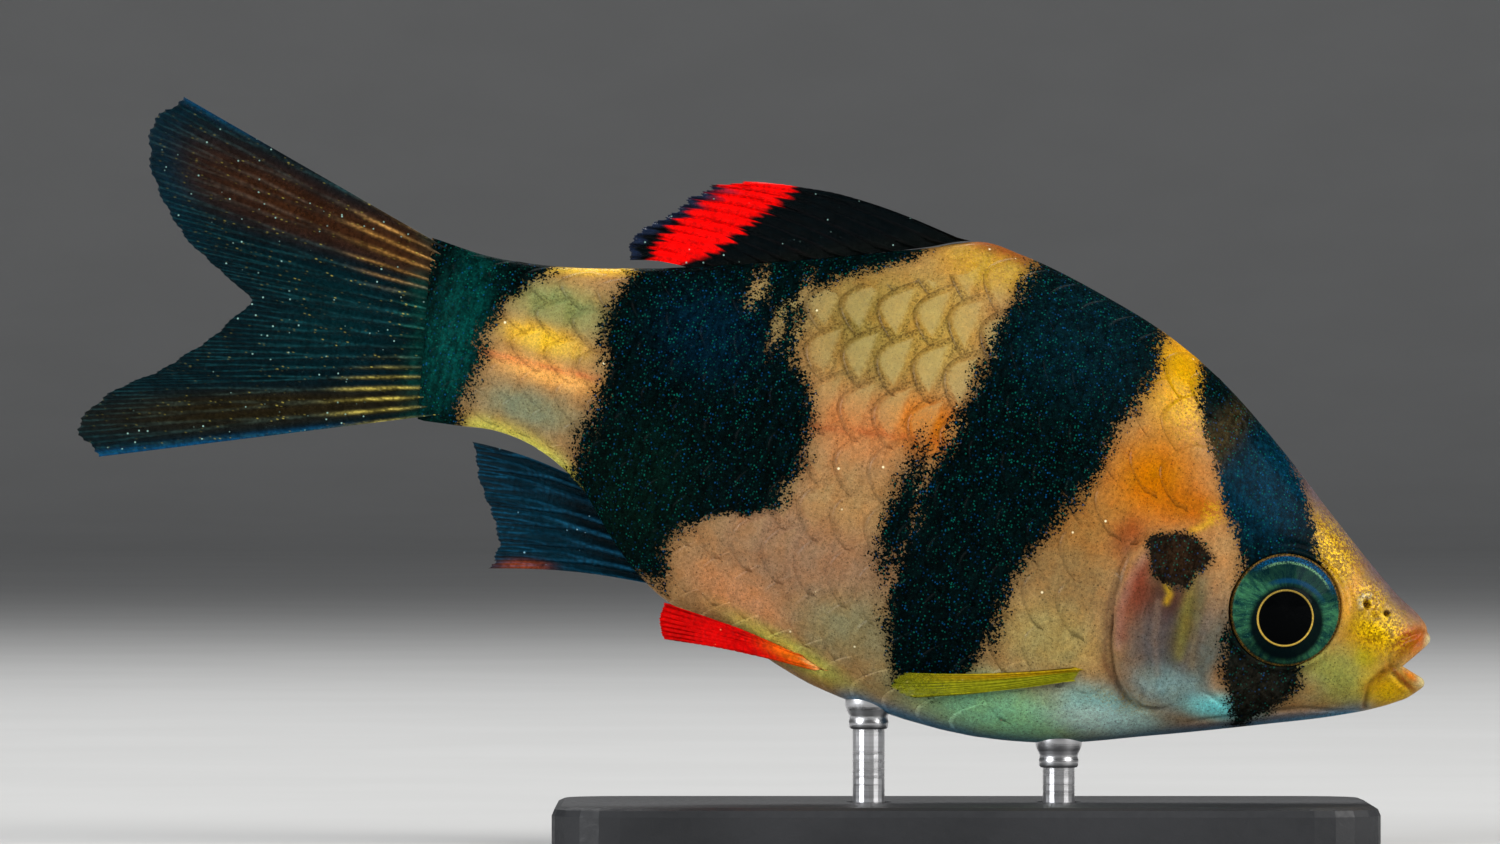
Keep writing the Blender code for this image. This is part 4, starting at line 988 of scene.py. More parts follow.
def plate_points(s, up, size, relief):
    """One plate's outer grid of fish-frame points, how near each lies to the rear edge, and how far, in
    millimetres, it lies inside the pale leaf in the middle of what shows of the plate."""
    along, across = np.meshgrid(np.linspace(0, 1, PLATE_ROWS), np.linspace(-1, 1, PLATE_COLUMNS), indexing="ij")
    round_off = 1 - 0.46 * np.abs(across) ** 1.8
    plate_s = s + SCALE_LENGTH * size * (along * round_off - 0.5)
    half = float(row_height(s)) * SCALE_OVERLAP * size / 2
    plate_up = up + half * across * (0.84 + 0.16 * np.sin(math.pi * np.clip(along * 1.25, 0, 1) / 1.25))
    surface = on_flank(plate_s, plate_up)
    step = 0.02
    normal = unit(np.cross(on_flank(plate_s, plate_up + step) - surface, on_flank(plate_s + step, plate_up) - surface))
    normal *= np.sign(normal[PLATE_ROWS // 2, PLATE_COLUMNS // 2, 1] * surface[PLATE_ROWS // 2, PLATE_COLUMNS // 2, 1])
    dome = 0.02 * (1 - across**2) * np.sin(math.pi * along)
    ripples = 0.004 * np.sin(along * 34.0) * rise(along, 0.35, 0.6)
    height = relief * (-0.07 + SCALE_LIFT * along + dome + ripples)
    leaf = SCALE_LENGTH * (0.24 * (1 - (across / 0.78) ** 2) - np.abs(along - 0.73))
    return surface, normal, height, along, leaf


def scales_piece(name, side):
    """All the plates of one side in one mesh, side +1 for left and -1 for right."""
    chance = random.Random(11 if side > 0 else 12)
    rows, columns = PLATE_ROWS, PLATE_COLUMNS
    rim = np.concatenate([np.arange(columns), np.arange(1, rows) * columns + columns - 1,
                          (rows - 1) * columns + np.arange(columns - 2, -1, -1), np.arange(rows - 2, 0, -1) * columns])
    count = rows * columns
    outer = grid_faces(rows, columns)
    inner = grid_faces(rows, columns, first=count)[:, ::-1]
    after = np.roll(rim, -1)
    wall = np.stack([rim, rim + count, after + count, after], -1)
    plate_faces = np.concatenate([outer, inner, wall])
    points, faces, edges, leaves, maps, shift = [], [], [], [], [], []
    flat_u = np.repeat(np.linspace(0, 1, rows), columns)
    flat_v = np.tile(np.linspace(0, 1, columns), rows)
    for row, s, up in scale_places():
        size = chance.uniform(0.97, 1.03)
        z = on_flank(np.array(s), np.array(up))[2]
        open_skin = 1 - rise(bar_depth(np.array(s), z), -0.6, 0.4)
        relief = 0.42 + 0.36 * float(open_skin * strength_of(RIM_ZONES, np.array(s), z))
        relief *= 1 - 0.5 * float(rise(-z, 2.0, 6.0))
        surface, normal, height, edge, leaf = plate_points(s, up, size, relief * chance.uniform(0.92, 1.08))
        thickness = relief * (0.045 - 0.02 * edge)
        top = surface + normal * height[..., None]
        under = surface + normal * (height - thickness)[..., None]
        plate = np.concatenate([top.reshape(-1, 3), under.reshape(-1, 3)])
        plate[:, 1] *= side
        faces.append(plate_faces + len(points) * 2 * count)
        points.append(plate)
        edges.append(np.tile(edge.ravel(), 2))
        leaves.append(np.tile(leaf.ravel(), 2))
        shift.append(np.full(2 * count, chance.uniform(-0.16, 0.16)))
        cell_u, cell_v = (s - 9.0) / 38.0 * 0.97 + 0.01, (up + 16.0) / 33.0
        wide, high = SCALE_STEP / 38.0 * 0.9, float(row_height(s)) / 33.0 * 0.46
        u = np.concatenate([cell_u + wide * (flat_u - 0.5), cell_u + wide * (flat_u - 0.5)])
        v = np.concatenate([cell_v + high * flat_v, cell_v - high * 0.06 - high * 0.12 * flat_v])
        corners = plate_faces.copy()
        wall_map = np.stack([u[rim], u[rim], u[after], u[after]], -1)
        wall_v = np.stack([v[rim] * 0 + cell_v - high * 0.02, v[rim] * 0 + cell_v - high * 0.05,
                           v[rim] * 0 + cell_v - high * 0.05, v[rim] * 0 + cell_v - high * 0.02], -1)
        plate_map = np.stack([u[corners], v[corners]], -1)
        plate_map[-len(wall):] = np.stack([wall_map, wall_v], -1)
        maps.append(plate_map)
    points, faces = np.concatenate(points), np.concatenate(faces)
    if side < 0:
        faces, maps = faces[:, ::-1], [m[:, ::-1] for m in maps]
    facts = markings(-points[:, 0], points[:, 2])
    facts["edge"], facts["leaf"] = np.concatenate(edges), np.concatenate(leaves)
    facts["bar"] = facts["bar"] + np.concatenate(shift)
    made = make_mesh(name, points, faces, facts, np.concatenate(maps))
    made.data.materials.append(scale_material)
    return made


for name, side in (("fish_scales_left", 1), ("fish_scales_right", -1)):
    scales = scales_piece(name, side)
    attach(scales, BODY)
    report(scales)
print("plates on each side:", len(scale_places()))

# %% [markdown]
# ## Fins
# A fin is a web held out by rays that branch towards the edge and are jointed like beads. One function lays a
# fin as a grid: columns across the rays and rows from the root to the edge. The distance to the nearest branch
# makes the ridges, so the rays fork in the surface itself. The root rows lie inside the skin. The web's
# colours come from washes too, over the fin's own two directions.

# %% A fin from its root and its edge
FIN_ROOT_SUNK = 0.07  # the share of a fin's length that is hidden in the skin
SEGMENT = 0.3  # the length of one joint of a ray


def along_points(outline):
    """A function from 0 to 1 along a smooth line through (s, z) points."""
    outline = np.array(outline, float)
    lengths = np.concatenate([[0.0], np.cumsum(np.linalg.norm(np.diff(outline, axis=0), axis=1))])
    lengths /= lengths[-1]
    s_of, z_of = curve_through(list(zip(lengths, outline[:, 0]))), curve_through(list(zip(lengths, outline[:, 1])))
    return lambda share: np.stack([s_of(share), z_of(share)], -1)


def fin_grid(root, edge, rays, columns, rows, bow, ragged, seed):
    """Flat (s, z) places of a fin's grid, with how far each is along, and how near to a ray."""
    chance = np.random.default_rng(seed)
    share = np.linspace(0, 1, columns)
    along = np.linspace(-FIN_ROOT_SUNK, 1, rows)[:, None]
    wobble = np.interp(share, np.linspace(0, 1, rays + 1), chance.uniform(-0.16, 0.16, rays + 1))
    ray_place = share * (rays - 1) + wobble * np.sin(math.pi * share)
    nearest = np.round(ray_place).astype(int)
    off_ray = ray_place - nearest
    fork_at = chance.uniform(0.22, 0.4, rays + 2)[nearest]
    fork_wide = 0.25 * rise(along, fork_at, fork_at + 0.34)
    second_wide = 0.125 * rise(along, fork_at + 0.3, fork_at + 0.6)
    from_fork = np.abs(np.abs(off_ray)[None, :] - fork_wide)
    from_ray = np.abs(from_fork - second_wide)
    ray_half = 0.2 - 0.135 * rise(along, 0.05, 0.95)
    ridge = hill(from_ray, ray_half)
    drawn_in = ragged * (np.abs(off_ray) * 2) ** 2 + chance.uniform(0, ragged, rays + 2)[nearest]
    tips = ragged * 0.6 * np.abs(np.sin(off_ray * 4 * math.pi))
    reach = 1 - (drawn_in + tips)[None, :] * np.clip(along, 0, 1) ** 6
    start, end = root(share)[None], edge(share)[None]
    across = np.stack([(start - end)[..., 1], (end - start)[..., 0]], -1) * bow
    flat = start + (end - start) * (along * reach)[..., None] + across * np.sin(math.pi * np.clip(along, 0, 1))[..., None]
    length = float(np.linalg.norm(end - start, axis=-1).mean())
    joints = (np.clip(along, 0, 1) * length / SEGMENT + chance.uniform(0, 1, rays + 2)[nearest][None, :]) % 1.0
    jointed = hill(joints - 0.5, 0.12) * rise(along, 0.16, 0.3) * ridge
    return flat, np.broadcast_to(along, flat.shape[:2]), np.broadcast_to(share, flat.shape[:2]), ridge, jointed, off_ray


def fin_piece(name, nodes, root, edge, rays, place, washes, ground, columns=220, rows=110, bow=0.0,
              ragged=0.02, seed=1, root_half=0.12, tip_half=0.03, pleat=0.0, hem=None,
              ray_ground=None, ray_washes=()):
    """A closed, two-sided fin. Place turns flat (s, z) places into fish-frame points. Washes colour the web,
    and the ray washes colour the rays."""
    flat, along, share, ridge, jointed, off_ray = fin_grid(root, edge, rays, columns, rows, bow, ragged, seed)
    middle = place(flat[..., 0], flat[..., 1], along, share)
    facing = surface_normals(middle)
    middle = middle + facing * (pleat * np.cos(off_ray * 2 * math.pi) * np.clip(along, 0, 1) ** 0.7)[..., None]
    facing = surface_normals(middle)
    ray_half = root_half + (tip_half - root_half) * np.clip(along, 0, 1) ** 0.6
    web = 0.045 - 0.02 * np.clip(along, 0, 1)
    half = web + ray_half * ridge * (1 - 0.35 * jointed)
    half = half + 0.05 * (hill(share, 0.012) + hill(1 - share, 0.012)) * (1 - along * 0.6)
    half = half * (1 - 0.75 * rise(along, 0.97, 1.0))
    near, far = middle + facing * half[..., None], middle - facing * half[..., None]
    count = columns * rows
    outline = np.concatenate([np.arange(columns), np.arange(1, rows) * columns + columns - 1,
                              (rows - 1) * columns + np.arange(columns - 2, -1, -1),
                              np.arange(rows - 2, 0, -1) * columns])
    after = np.roll(outline, -1)
    wall = np.stack([outline, outline + count, after + count, after], -1)
    faces = np.concatenate([grid_faces(rows, columns), grid_faces(rows, columns, first=count)[:, ::-1], wall])
    points = np.concatenate([near.reshape(-1, 3), far.reshape(-1, 3)])
    one_face = grid_map(rows, columns, False) * [0.97, 0.48]
    wall_u = np.arange(len(wall)) / len(wall)
    wall_map = np.stack([np.stack([wall_u + du, np.full(len(wall), v)], -1) * [0.97, 1]
                         for du, v in ((0, 0.985), (0, 0.99), (1 / len(wall), 0.99), (1 / len(wall), 0.985))], 1)
    maps = np.concatenate([one_face, one_face[:, ::-1] + [0, 0.49], wall_map])
    colours = washed(ground, washes, share, along)
    if hem:
        colours = hem(colours, flat[..., 0], flat[..., 1], share, along)
    ray_colours = washed(ray_ground, ray_washes, share, along) if ray_ground else colours
    facts = {
        "ground": np.tile(colours.reshape(-1, 3), (2, 1)),
        "rays": np.tile(ray_colours.reshape(-1, 3), (2, 1)),
        "ridge": np.tile(ridge.ravel(), 2),
        "joint": np.tile(jointed.ravel(), 2),
        "outward": np.tile(along.ravel(), 2),
    }
    made = make_mesh(name, points, faces, facts, maps)
    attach(made, BODY)
    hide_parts(*nodes)
    report(made)
    return made


# %% [markdown]
# ## The fins' material
# The web is clear, and its colour sits mostly in and beside the rays. The rays get a lighter, warmer tone than
# the web and small dark joints, and loose pale specks are strewn over both. Towards the edge the web lets a
# little of what is behind it through.

# %% Webs and rays
def fin_material(name, ray_tint, ray_share, web_clear, speck=(150, 190, 180), gloss=0.3, mottle=0.35,
                 specks=0.7, ray_clear=0.0, dash=(150, 130, 50), dash_share=0.0):
    n = Nodes(name)
    place = n.fact(PLACE, "Vector")
    ground, rays = n.fact("ground", "Color"), n.fact("rays", "Color")
    ridge, joint, outward = n.fact("ridge"), n.fact("joint"), n.fact("outward")
    fine = n.noise(place, 6.0, 3.0, 0.6)
    coarse = n.noise(place, 0.9, 3.0)
    colour = n.mix(1.0, ground, n.step(fine, 0.3, 0.72, 1 - mottle, 1 + mottle), "MULTIPLY")
    colour = n.mix(1.0, colour, n.step(coarse, 0.3, 0.7, 1 - mottle / 2, 1 + mottle / 2), "MULTIPLY")
    lit = n.mix(0.35, rays, seen(ray_tint))
    lit = n.mix(1.0, lit, n.step(fine, 0.3, 0.72, 0.5, 1.5), "MULTIPLY")
    uneven = n.noise(n.stretched(place, (0.3, 1.0, 2.6)), 1.0, 3.0, 0.6)
    lit = n.mix(1.0, lit, n.step(uneven, 0.36, 0.66, 0.35, 1.7), "MULTIPLY")
    crest = n.math("POWER", ridge, 1.8)
    colour = n.mix(n.math("MULTIPLY", crest, n.step(outward, 0.0, 1.0, ray_share, ray_share * 0.7)), colour, lit)
    colour = n.mix(n.math("MULTIPLY", joint, 0.35), colour, (0.006, 0.008, 0.008))
    from_dash, dash_chance, _ = n.cells(n.stretched(place, (4.6, 6.0, 9.0)), 1.0)
    dashes = n.math("MULTIPLY", n.step(from_dash, 0.4, 0.16), n.step(dash_chance, 0.66, 1.0, 0.0, dash_share))
    dashes = n.math("MULTIPLY", dashes, n.step(outward, 0.1, 1.0, 1.0, 0.25))
    colour = n.mix(n.math("MULTIPLY", dashes, ridge), colour, seen(dash))
    from_speck, chance, _ = n.cells(place, 2.6)
    scattered = n.math("MULTIPLY", n.step(from_speck, 0.14, 0.06), n.step(chance, specks, specks + 0.1, 0.0, 0.75))
    colour = n.mix(scattered, colour, seen(speck))
    clear = n.step(outward, 0.55, 1.0, 0.3 * web_clear, web_clear)
    solid = n.math("SUBTRACT", 1.0, n.math("MULTIPLY", clear, n.math("MULTIPLY_ADD", ridge, ray_clear - 1.0, 1.0)))
    return n.finish(
        Base_Color=colour,
        Roughness=n.step(fine, 0.3, 0.7, gloss, gloss + 0.15),
        Alpha=solid,
        Normal=n.bump(fine, 0.02),
        Specular_IOR_Level=0.03,
        Coat_Weight=0.04,
        Coat_Roughness=0.16,
    )


# %% [markdown]
# ## The tail fin
# The tail is one deeply forked sheet in a slow wave. Its web is so dark that it looks black, with teal rays, a
# rust-brown band along each outer edge, and gold where the rays leave the body. Washes over the share across
# the fin and the way out along it place these, one set for the web and one for the rays.

# %% Tail fin
TAIL_ROOT = [(47.28, 4.7), (46.85, 2.7), (46.35, 0.85), (45.93, -1.1), (45.5, -3.0)]
TAIL_EDGE = [
    (59.5, 7.5), (60.6, 6.0), (60.1, 4.2), (58.6, 2.3), (56.5, 0.95), (54.6, 0.1), (54.0, -0.25), (54.3, -0.75),
    (55.2, -2.2), (57.0, -4.3), (59.2, -6.4), (59.8, -7.9), (58.4, -8.75),
]
TAIL_WASHES = [
    ("dark root", 0.5, 0.0, 0.6, 0.13, 0, (2, 20, 20), 0.95),
    ("tail bar's teal", 0.5, 0.0, 0.8, 0.055, 0, (3, 52, 46), 0.9),
    ("orange upper band", 0.13, 0.45, 0.1, 0.5, 0, (48, 24, 8), 0.9),
    ("orange lower band", 0.9, 0.45, 0.07, 0.55, 0, (30, 22, 4), 0.85),
    ("brown upper roots", 0.1, 0.06, 0.12, 0.2, 0, (60, 34, 14), 0.7),
    ("blue upper tip", 0.16, 1.0, 0.2, 0.14, 0, (1, 26, 38), 0.95),
    ("teal middle", 0.5, 0.4, 0.2, 0.35, 0, (1, 30, 34), 0.8),
]
TAIL_RAY_WASHES = [
    ("rust upper rays", 0.13, 0.5, 0.1, 0.4, 0, (84, 44, 14), 0.8),
    ("rust lower rays", 0.9, 0.5, 0.08, 0.45, 0, (58, 44, 12), 0.8),
    ("gold upper rays", 0.15, 0.12, 0.14, 0.16, 0, (236, 168, 76), 1.0),
    ("gold lower rays", 0.86, 0.11, 0.15, 0.14, 0, (226, 200, 84), 1.0),
    ("pale middle rays", 0.5, 0.03, 0.2, 0.1, 0, (40, 112, 98), 0.8),
]
TAIL_SWAY = 0.3


def tail_place(s, z, along, share):
    return np.stack([-s, TAIL_SWAY * np.sin(0.45 * z) * along**2, z], -1)


def blue_hem(colours, s, z, share, along):
    """A thin blue line along the outer rays, brighter on the lower lobe."""
    line = np.maximum(0.55 * hill(share, 0.01) * rise(along, 0.6, 0.9), hill(1 - share, 0.013) * rise(along, 0.1, 0.4))
    return colours + (seen((6, 72, 112)) - colours) * (0.85 * line)[..., None]


tail_material = fin_material("tail_web", (24, 58, 56), 0.66, 0.14, specks=0.5, dash=(176, 160, 74),
                             dash_share=0.7)
tail = fin_piece("fish_tail_fin", ["tail_fin_upper_lobe", "tail_fin_lower_lobe"], along_points(TAIL_ROOT),
                 along_points(TAIL_EDGE), 19, tail_place, TAIL_WASHES, (1, 18, 24), columns=380, rows=130,
                 bow=0.0, ragged=0.012, seed=3, root_half=0.15, hem=blue_hem,
                 ray_ground=(3, 46, 54), ray_washes=TAIL_RAY_WASHES)
tail.data.materials.append(tail_material)

# %% [markdown]
# ## The fins above and below
# Both stand in the middle plane, so their places are flat. The back fin is black with a bright red band across
# it, whose edge is jagged because each ray carries the colour a different way out. A band drawn as a
# distance from a bent line does that with two sines. The lower one is blue-black with an orange tip.

# %% Back fin and the fin behind the belly
DORSAL_EDGE = [(35.1, 11.1), (36.3, 10.45), (37.7, 8.7), (38.9, 7.1), (38.6, 6.35)]
ANAL_EDGE = [(40.7, -8.45), (40.5, -7.4), (41.3, -6.0), (42.2, -4.7), (42.9, -3.3)]
RED_BAND = [(33.6, 11.6), (34.7, 10.3), (35.7, 8.8), (36.7, 7.0)]


def flat_place(s, z, along, share):
    return np.stack([-s, np.zeros_like(s), z], -1)


def dorsal_root(share):
    s = 25.2 + (35.9 - 25.2) * share
    return np.stack([s, back(s) - 0.1], -1)


def anal_root(share):
    s = 33.2 + (38.3 - 33.2) * share
    return np.stack([s, belly(s) + 0.1], -1)


def red_band(colours, s, z, share, along):
    """The back fin's bright red band, with clear blue-grey tips beyond it."""
    jag = 0.15 * np.sin(share * 61.0 + 0.4) + 0.11 * np.sin(share * 143.0 + 1.3) + 0.07 * np.sin(share * 211.0)
    band = 1 - rise(line_distance(s, z, RED_BAND) + jag, 0.85, 1.2)
    band = band * rise(along, 0.15, 0.3)
    colours = colours + (seen((246, 3, 2)) - colours) * band[..., None]
    tips = rise(along + 0.05 * np.sin(share * 60.0), 0.84, 0.95) * rise(share, 0.12, 0.3)
    return colours + (seen((22, 34, 58)) - colours) * (0.85 * tips)[..., None]


dorsal = fin_piece("fish_dorsal_fin", ["dorsal_fin"], dorsal_root, along_points(DORSAL_EDGE), 12, flat_place, [
    ("ray roots", 0.5, 0.0, 0.6, 0.1, 0, (10, 13, 10), 0.6),
], (1, 6, 8), bow=0.05, ragged=0.03, seed=5, pleat=0.1, hem=red_band)
dorsal.data.materials.append(fin_material("back_fin_web", (44, 14, 13), 0.16, 0.3, mottle=0.26))

anal = fin_piece("fish_anal_fin", ["anal_fin"], anal_root, along_points(ANAL_EDGE), 8, flat_place, [
    ("dark root", 0.4, 0.1, 0.6, 0.3, 0, (2, 14, 18), 0.9),
    ("orange tip", 0.03, 0.8, 0.06, 0.16, 0, (120, 48, 12), 1.0),
    ("blue rear", 0.9, 0.7, 0.3, 0.4, 0, (2, 24, 34), 0.7),
], (2, 32, 44), columns=170, rows=90, bow=0.03, ragged=0.02, seed=7, pleat=0.07, ray_ground=(12, 74, 104))
anal.data.materials.append(fin_material("anal_fin_web", (28, 76, 98), 0.5, 0.3, (150, 200, 220)))

# %% [markdown]
# ## The paired fins
# The belly fins are short red fans that spread out and back from the belly, and the breast fins are slender
# yellow blades held close to the side. Mirroring one object would turn its normals inside out, so each side
# is built by the same functions with the side as a sign.

# %% Paired fins
PELVIC_EDGE = [(32.35, -9.1), (32.8, -8.4), (32.8, -7.6)]
PELVIC_ROOT_Y, PELVIC_SPLAY, PELVIC_TILT = 1.5, 0.5, 0.35
PECTORAL_ROOT, PECTORAL_TIP = (14.65, -5.25), (21.8, -8.0)
PECTORAL_EDGE = [(21.9, -7.45), (22.35, -8.0), (21.8, -8.4), (20.3, -8.0)]
PECTORAL_LIFT, PECTORAL_TILT = 0.75, 0.4
pectoral_root_y = float(side_at(*PECTORAL_ROOT)) + 0.1
pectoral_tip_y = float(side_at(*PECTORAL_TIP)) + PECTORAL_LIFT


def under_at(s, y):
    """The belly's height beside the keel."""
    middle = belly(s) + widest(s) * (back(s) - belly(s))
    return middle - (middle - belly(s)) * np.sqrt(1 - (np.abs(y) / half_width(s)) ** (2 / belly_fullness(s)))


def pelvic_root(share):
    s = 25.3 + 1.1 * share
    return np.stack([s, under_at(s, PELVIC_ROOT_Y - 0.3) + 0.1], -1)


for side, word in ((1, "left"), (-1, "right")):
    def pelvic_place(s, z, along, share, side=side):
        y = PELVIC_ROOT_Y + PELVIC_SPLAY * along + PELVIC_TILT * along * (-8.0 - z)
        return np.stack([-s, side * y, z], -1)

    def pectoral_place(s, z, along, share, side=side):
        level = PECTORAL_ROOT[1] + (PECTORAL_TIP[1] - PECTORAL_ROOT[1]) * along
        ease = np.clip(along, 0, 1) ** 1.5
        y = pectoral_root_y + (pectoral_tip_y - pectoral_root_y) * ease + PECTORAL_TILT * (z - level)
        y = y - 0.5 * (1 - rise(along, -0.07, 0.05))
        return np.stack([-s, side * y, z], -1)

    pelvic = fin_piece(f"fish_pelvic_fin_{word}", [f"pelvic_fin_{word}"], pelvic_root, along_points(PELVIC_EDGE), 8,
                       pelvic_place, [
                           ("orange root", 0.5, 0.05, 0.8, 0.22, 0, (222, 110, 14), 0.95),
                           ("gold glint", 0.3, 0.0, 0.4, 0.06, 0, (240, 200, 120), 0.8),
                       ], (188, 2, 2), columns=130, rows=90, bow=0.02, ragged=0.012, seed=9, pleat=0.06)
    pelvic.data.materials.append(
        fin_material(f"belly_fin_web_{word}", (214, 12, 6), 0.35, 0.12, (255, 120, 80), mottle=0.2))
    pectoral = fin_piece(f"fish_pectoral_fin_{word}", [f"pectoral_fin_{word}"],
                         along_points([(14.45, -4.95), (14.6, -5.5)]), along_points(PECTORAL_EDGE), 10,
                         pectoral_place, [
                             ("gold upper ray", 0.08, 0.3, 0.14, 0.5, 0, (206, 160, 10), 0.9),
                         ], (150, 152, 23), columns=140, rows=90, bow=-0.02, ragged=0.02, seed=13, root_half=0.05,
                         tip_half=0.02)
    pectoral.data.materials.append(
        fin_material(f"breast_fin_web_{word}", (180, 150, 40), 0.35, 0.8, (220, 200, 120), mottle=0.2,
                     ray_clear=0.5))

# %% [markdown]
# ## Eyes
# Seen close, the eye is a black pupil in a thin gold ring, a dark inner iris, a band of green and teal flecks,
# and a brown-gold outer ring, all under a clear dome. A glass dome over a painted disc would do, but it
# swallows light, so here the dome itself is painted ring by ring, its layers have their own relief, and a
# clear coat over them gives the wet highlight. The dark inner iris is widened by a painted shadow set a little
# off the pupil, and the blue arcs and pale dashes high on the iris are painted reflections of the light.

# %% Make the eyes
EYE_SINK = 0.14
EYE_TURN = math.radians(10.0)
DOME_RADIUS = 4.2
EYE_RINGS, EYE_SPOKES = 90, 160
PUPIL_SHIFT = (-0.03, -0.33)  # forward and up from the eye's middle
# where the painted shadow over the inner iris is centred, forward and up from the eye's middle
SHADOW_SHIFT = (0.12, -0.5)


def eye_material():
    n = Nodes("eye_metal")
    radius, from_pupil, from_shadow = n.fact("radius"), n.fact("from_pupil"), n.fact("from_shadow")
    height = n.fact("height")
    place, streaks = n.fact(PLACE, "Vector"), n.fact("streaks", "Vector")
    fleck = n.noise(streaks, 1.0, 4.0, 0.7)
    fine = n.noise(place, 14.0, 3.0, 0.7)
    teal = n.mix(n.step(fleck, 0.35, 0.7), seen((8, 46, 46)), seen((56, 112, 76)))
    teal = n.mix(n.step(fine, 0.56, 0.7, 0.0, 0.5), teal, seen((76, 150, 120)))
    blue = n.mix(n.step(fine, 0.4, 0.7), seen((3, 30, 46)), seen((12, 84, 128)))
    # blue arcs high on the iris: a painted reflection of the light
    top_reflection_arc = n.math("MULTIPLY", n.step(height, 1.0, 1.9), n.step(radius, 1.98, 2.22))
    iris = n.mix(n.step(height, 0.4, 1.4, 0.0, 0.85), teal, seen((2, 22, 28)))
    iris = n.mix(top_reflection_arc, iris, blue)
    inner_reflection_arc = n.math("ABSOLUTE", n.math("SUBTRACT", from_shadow, 1.84))
    inner_reflection_arc = n.math("MULTIPLY", n.step(inner_reflection_arc, 0.16, 0.04), n.step(height, 0.7, 1.2, 0.0, 0.7))
    iris = n.mix(inner_reflection_arc, iris, seen((6, 52, 84)))
    # the dark inner iris, darkened further by a painted shadow round the pupil
    iris = n.mix(n.step(from_shadow, 1.52, 1.78, 0.98, 0.0), iris, (0.001, 0.004, 0.005))
    iris = n.mix(n.step(height, -1.4, -2.0, 0.0, 0.65), iris, (0.001, 0.004, 0.005))
    # pale dashes high on the iris: painted highlights
    highlight_dash_ring = n.math("ABSOLUTE", n.math("SUBTRACT", radius, 2.1))
    dashes = n.math("MULTIPLY", n.step(height, 1.3, 1.75), n.step(highlight_dash_ring, 0.08, 0.03, 0.0, 0.42))
    iris = n.mix(n.math("MULTIPLY", dashes, n.step(fine, 0.4, 0.6)), iris, seen((140, 190, 116)))
    rim = n.mix(n.step(fine, 0.38, 0.66), seen((12, 22, 20)), seen((124, 92, 36)))
    iris = n.mix(n.step(radius, 2.34, 2.41), iris, rim)
    gold_line = n.math("ABSOLUTE", n.math("SUBTRACT", from_pupil, 1.22))
    gold = n.math("MULTIPLY", n.step(gold_line, 0.055, 0.02), n.step(height, 1.2, -1.6, 0.3, 1.0))
    gold = n.math("MULTIPLY", gold, n.step(fleck, 0.2, 0.5, 0.55, 1.0))
    pupil = n.step(from_pupil, 1.2, 1.16)
    colour = n.mix(gold, iris, seen((240, 200, 90)))
    colour = n.mix(pupil, colour, (0.0005, 0.0008, 0.001))
    metal = n.math("MAXIMUM", gold, n.math("MULTIPLY", n.step(from_shadow, 1.75, 1.95), 0.12))
    return n.finish(
        Base_Color=colour,
        Metallic=metal,
        Roughness=n.step(fine, 0.3, 0.7, 0.34, 0.5),
        Specular_IOR_Level=0.01,
        Normal=n.bump(fleck, 0.04),
        Coat_Weight=0.02,
        Coat_Roughness=0.05,
    )


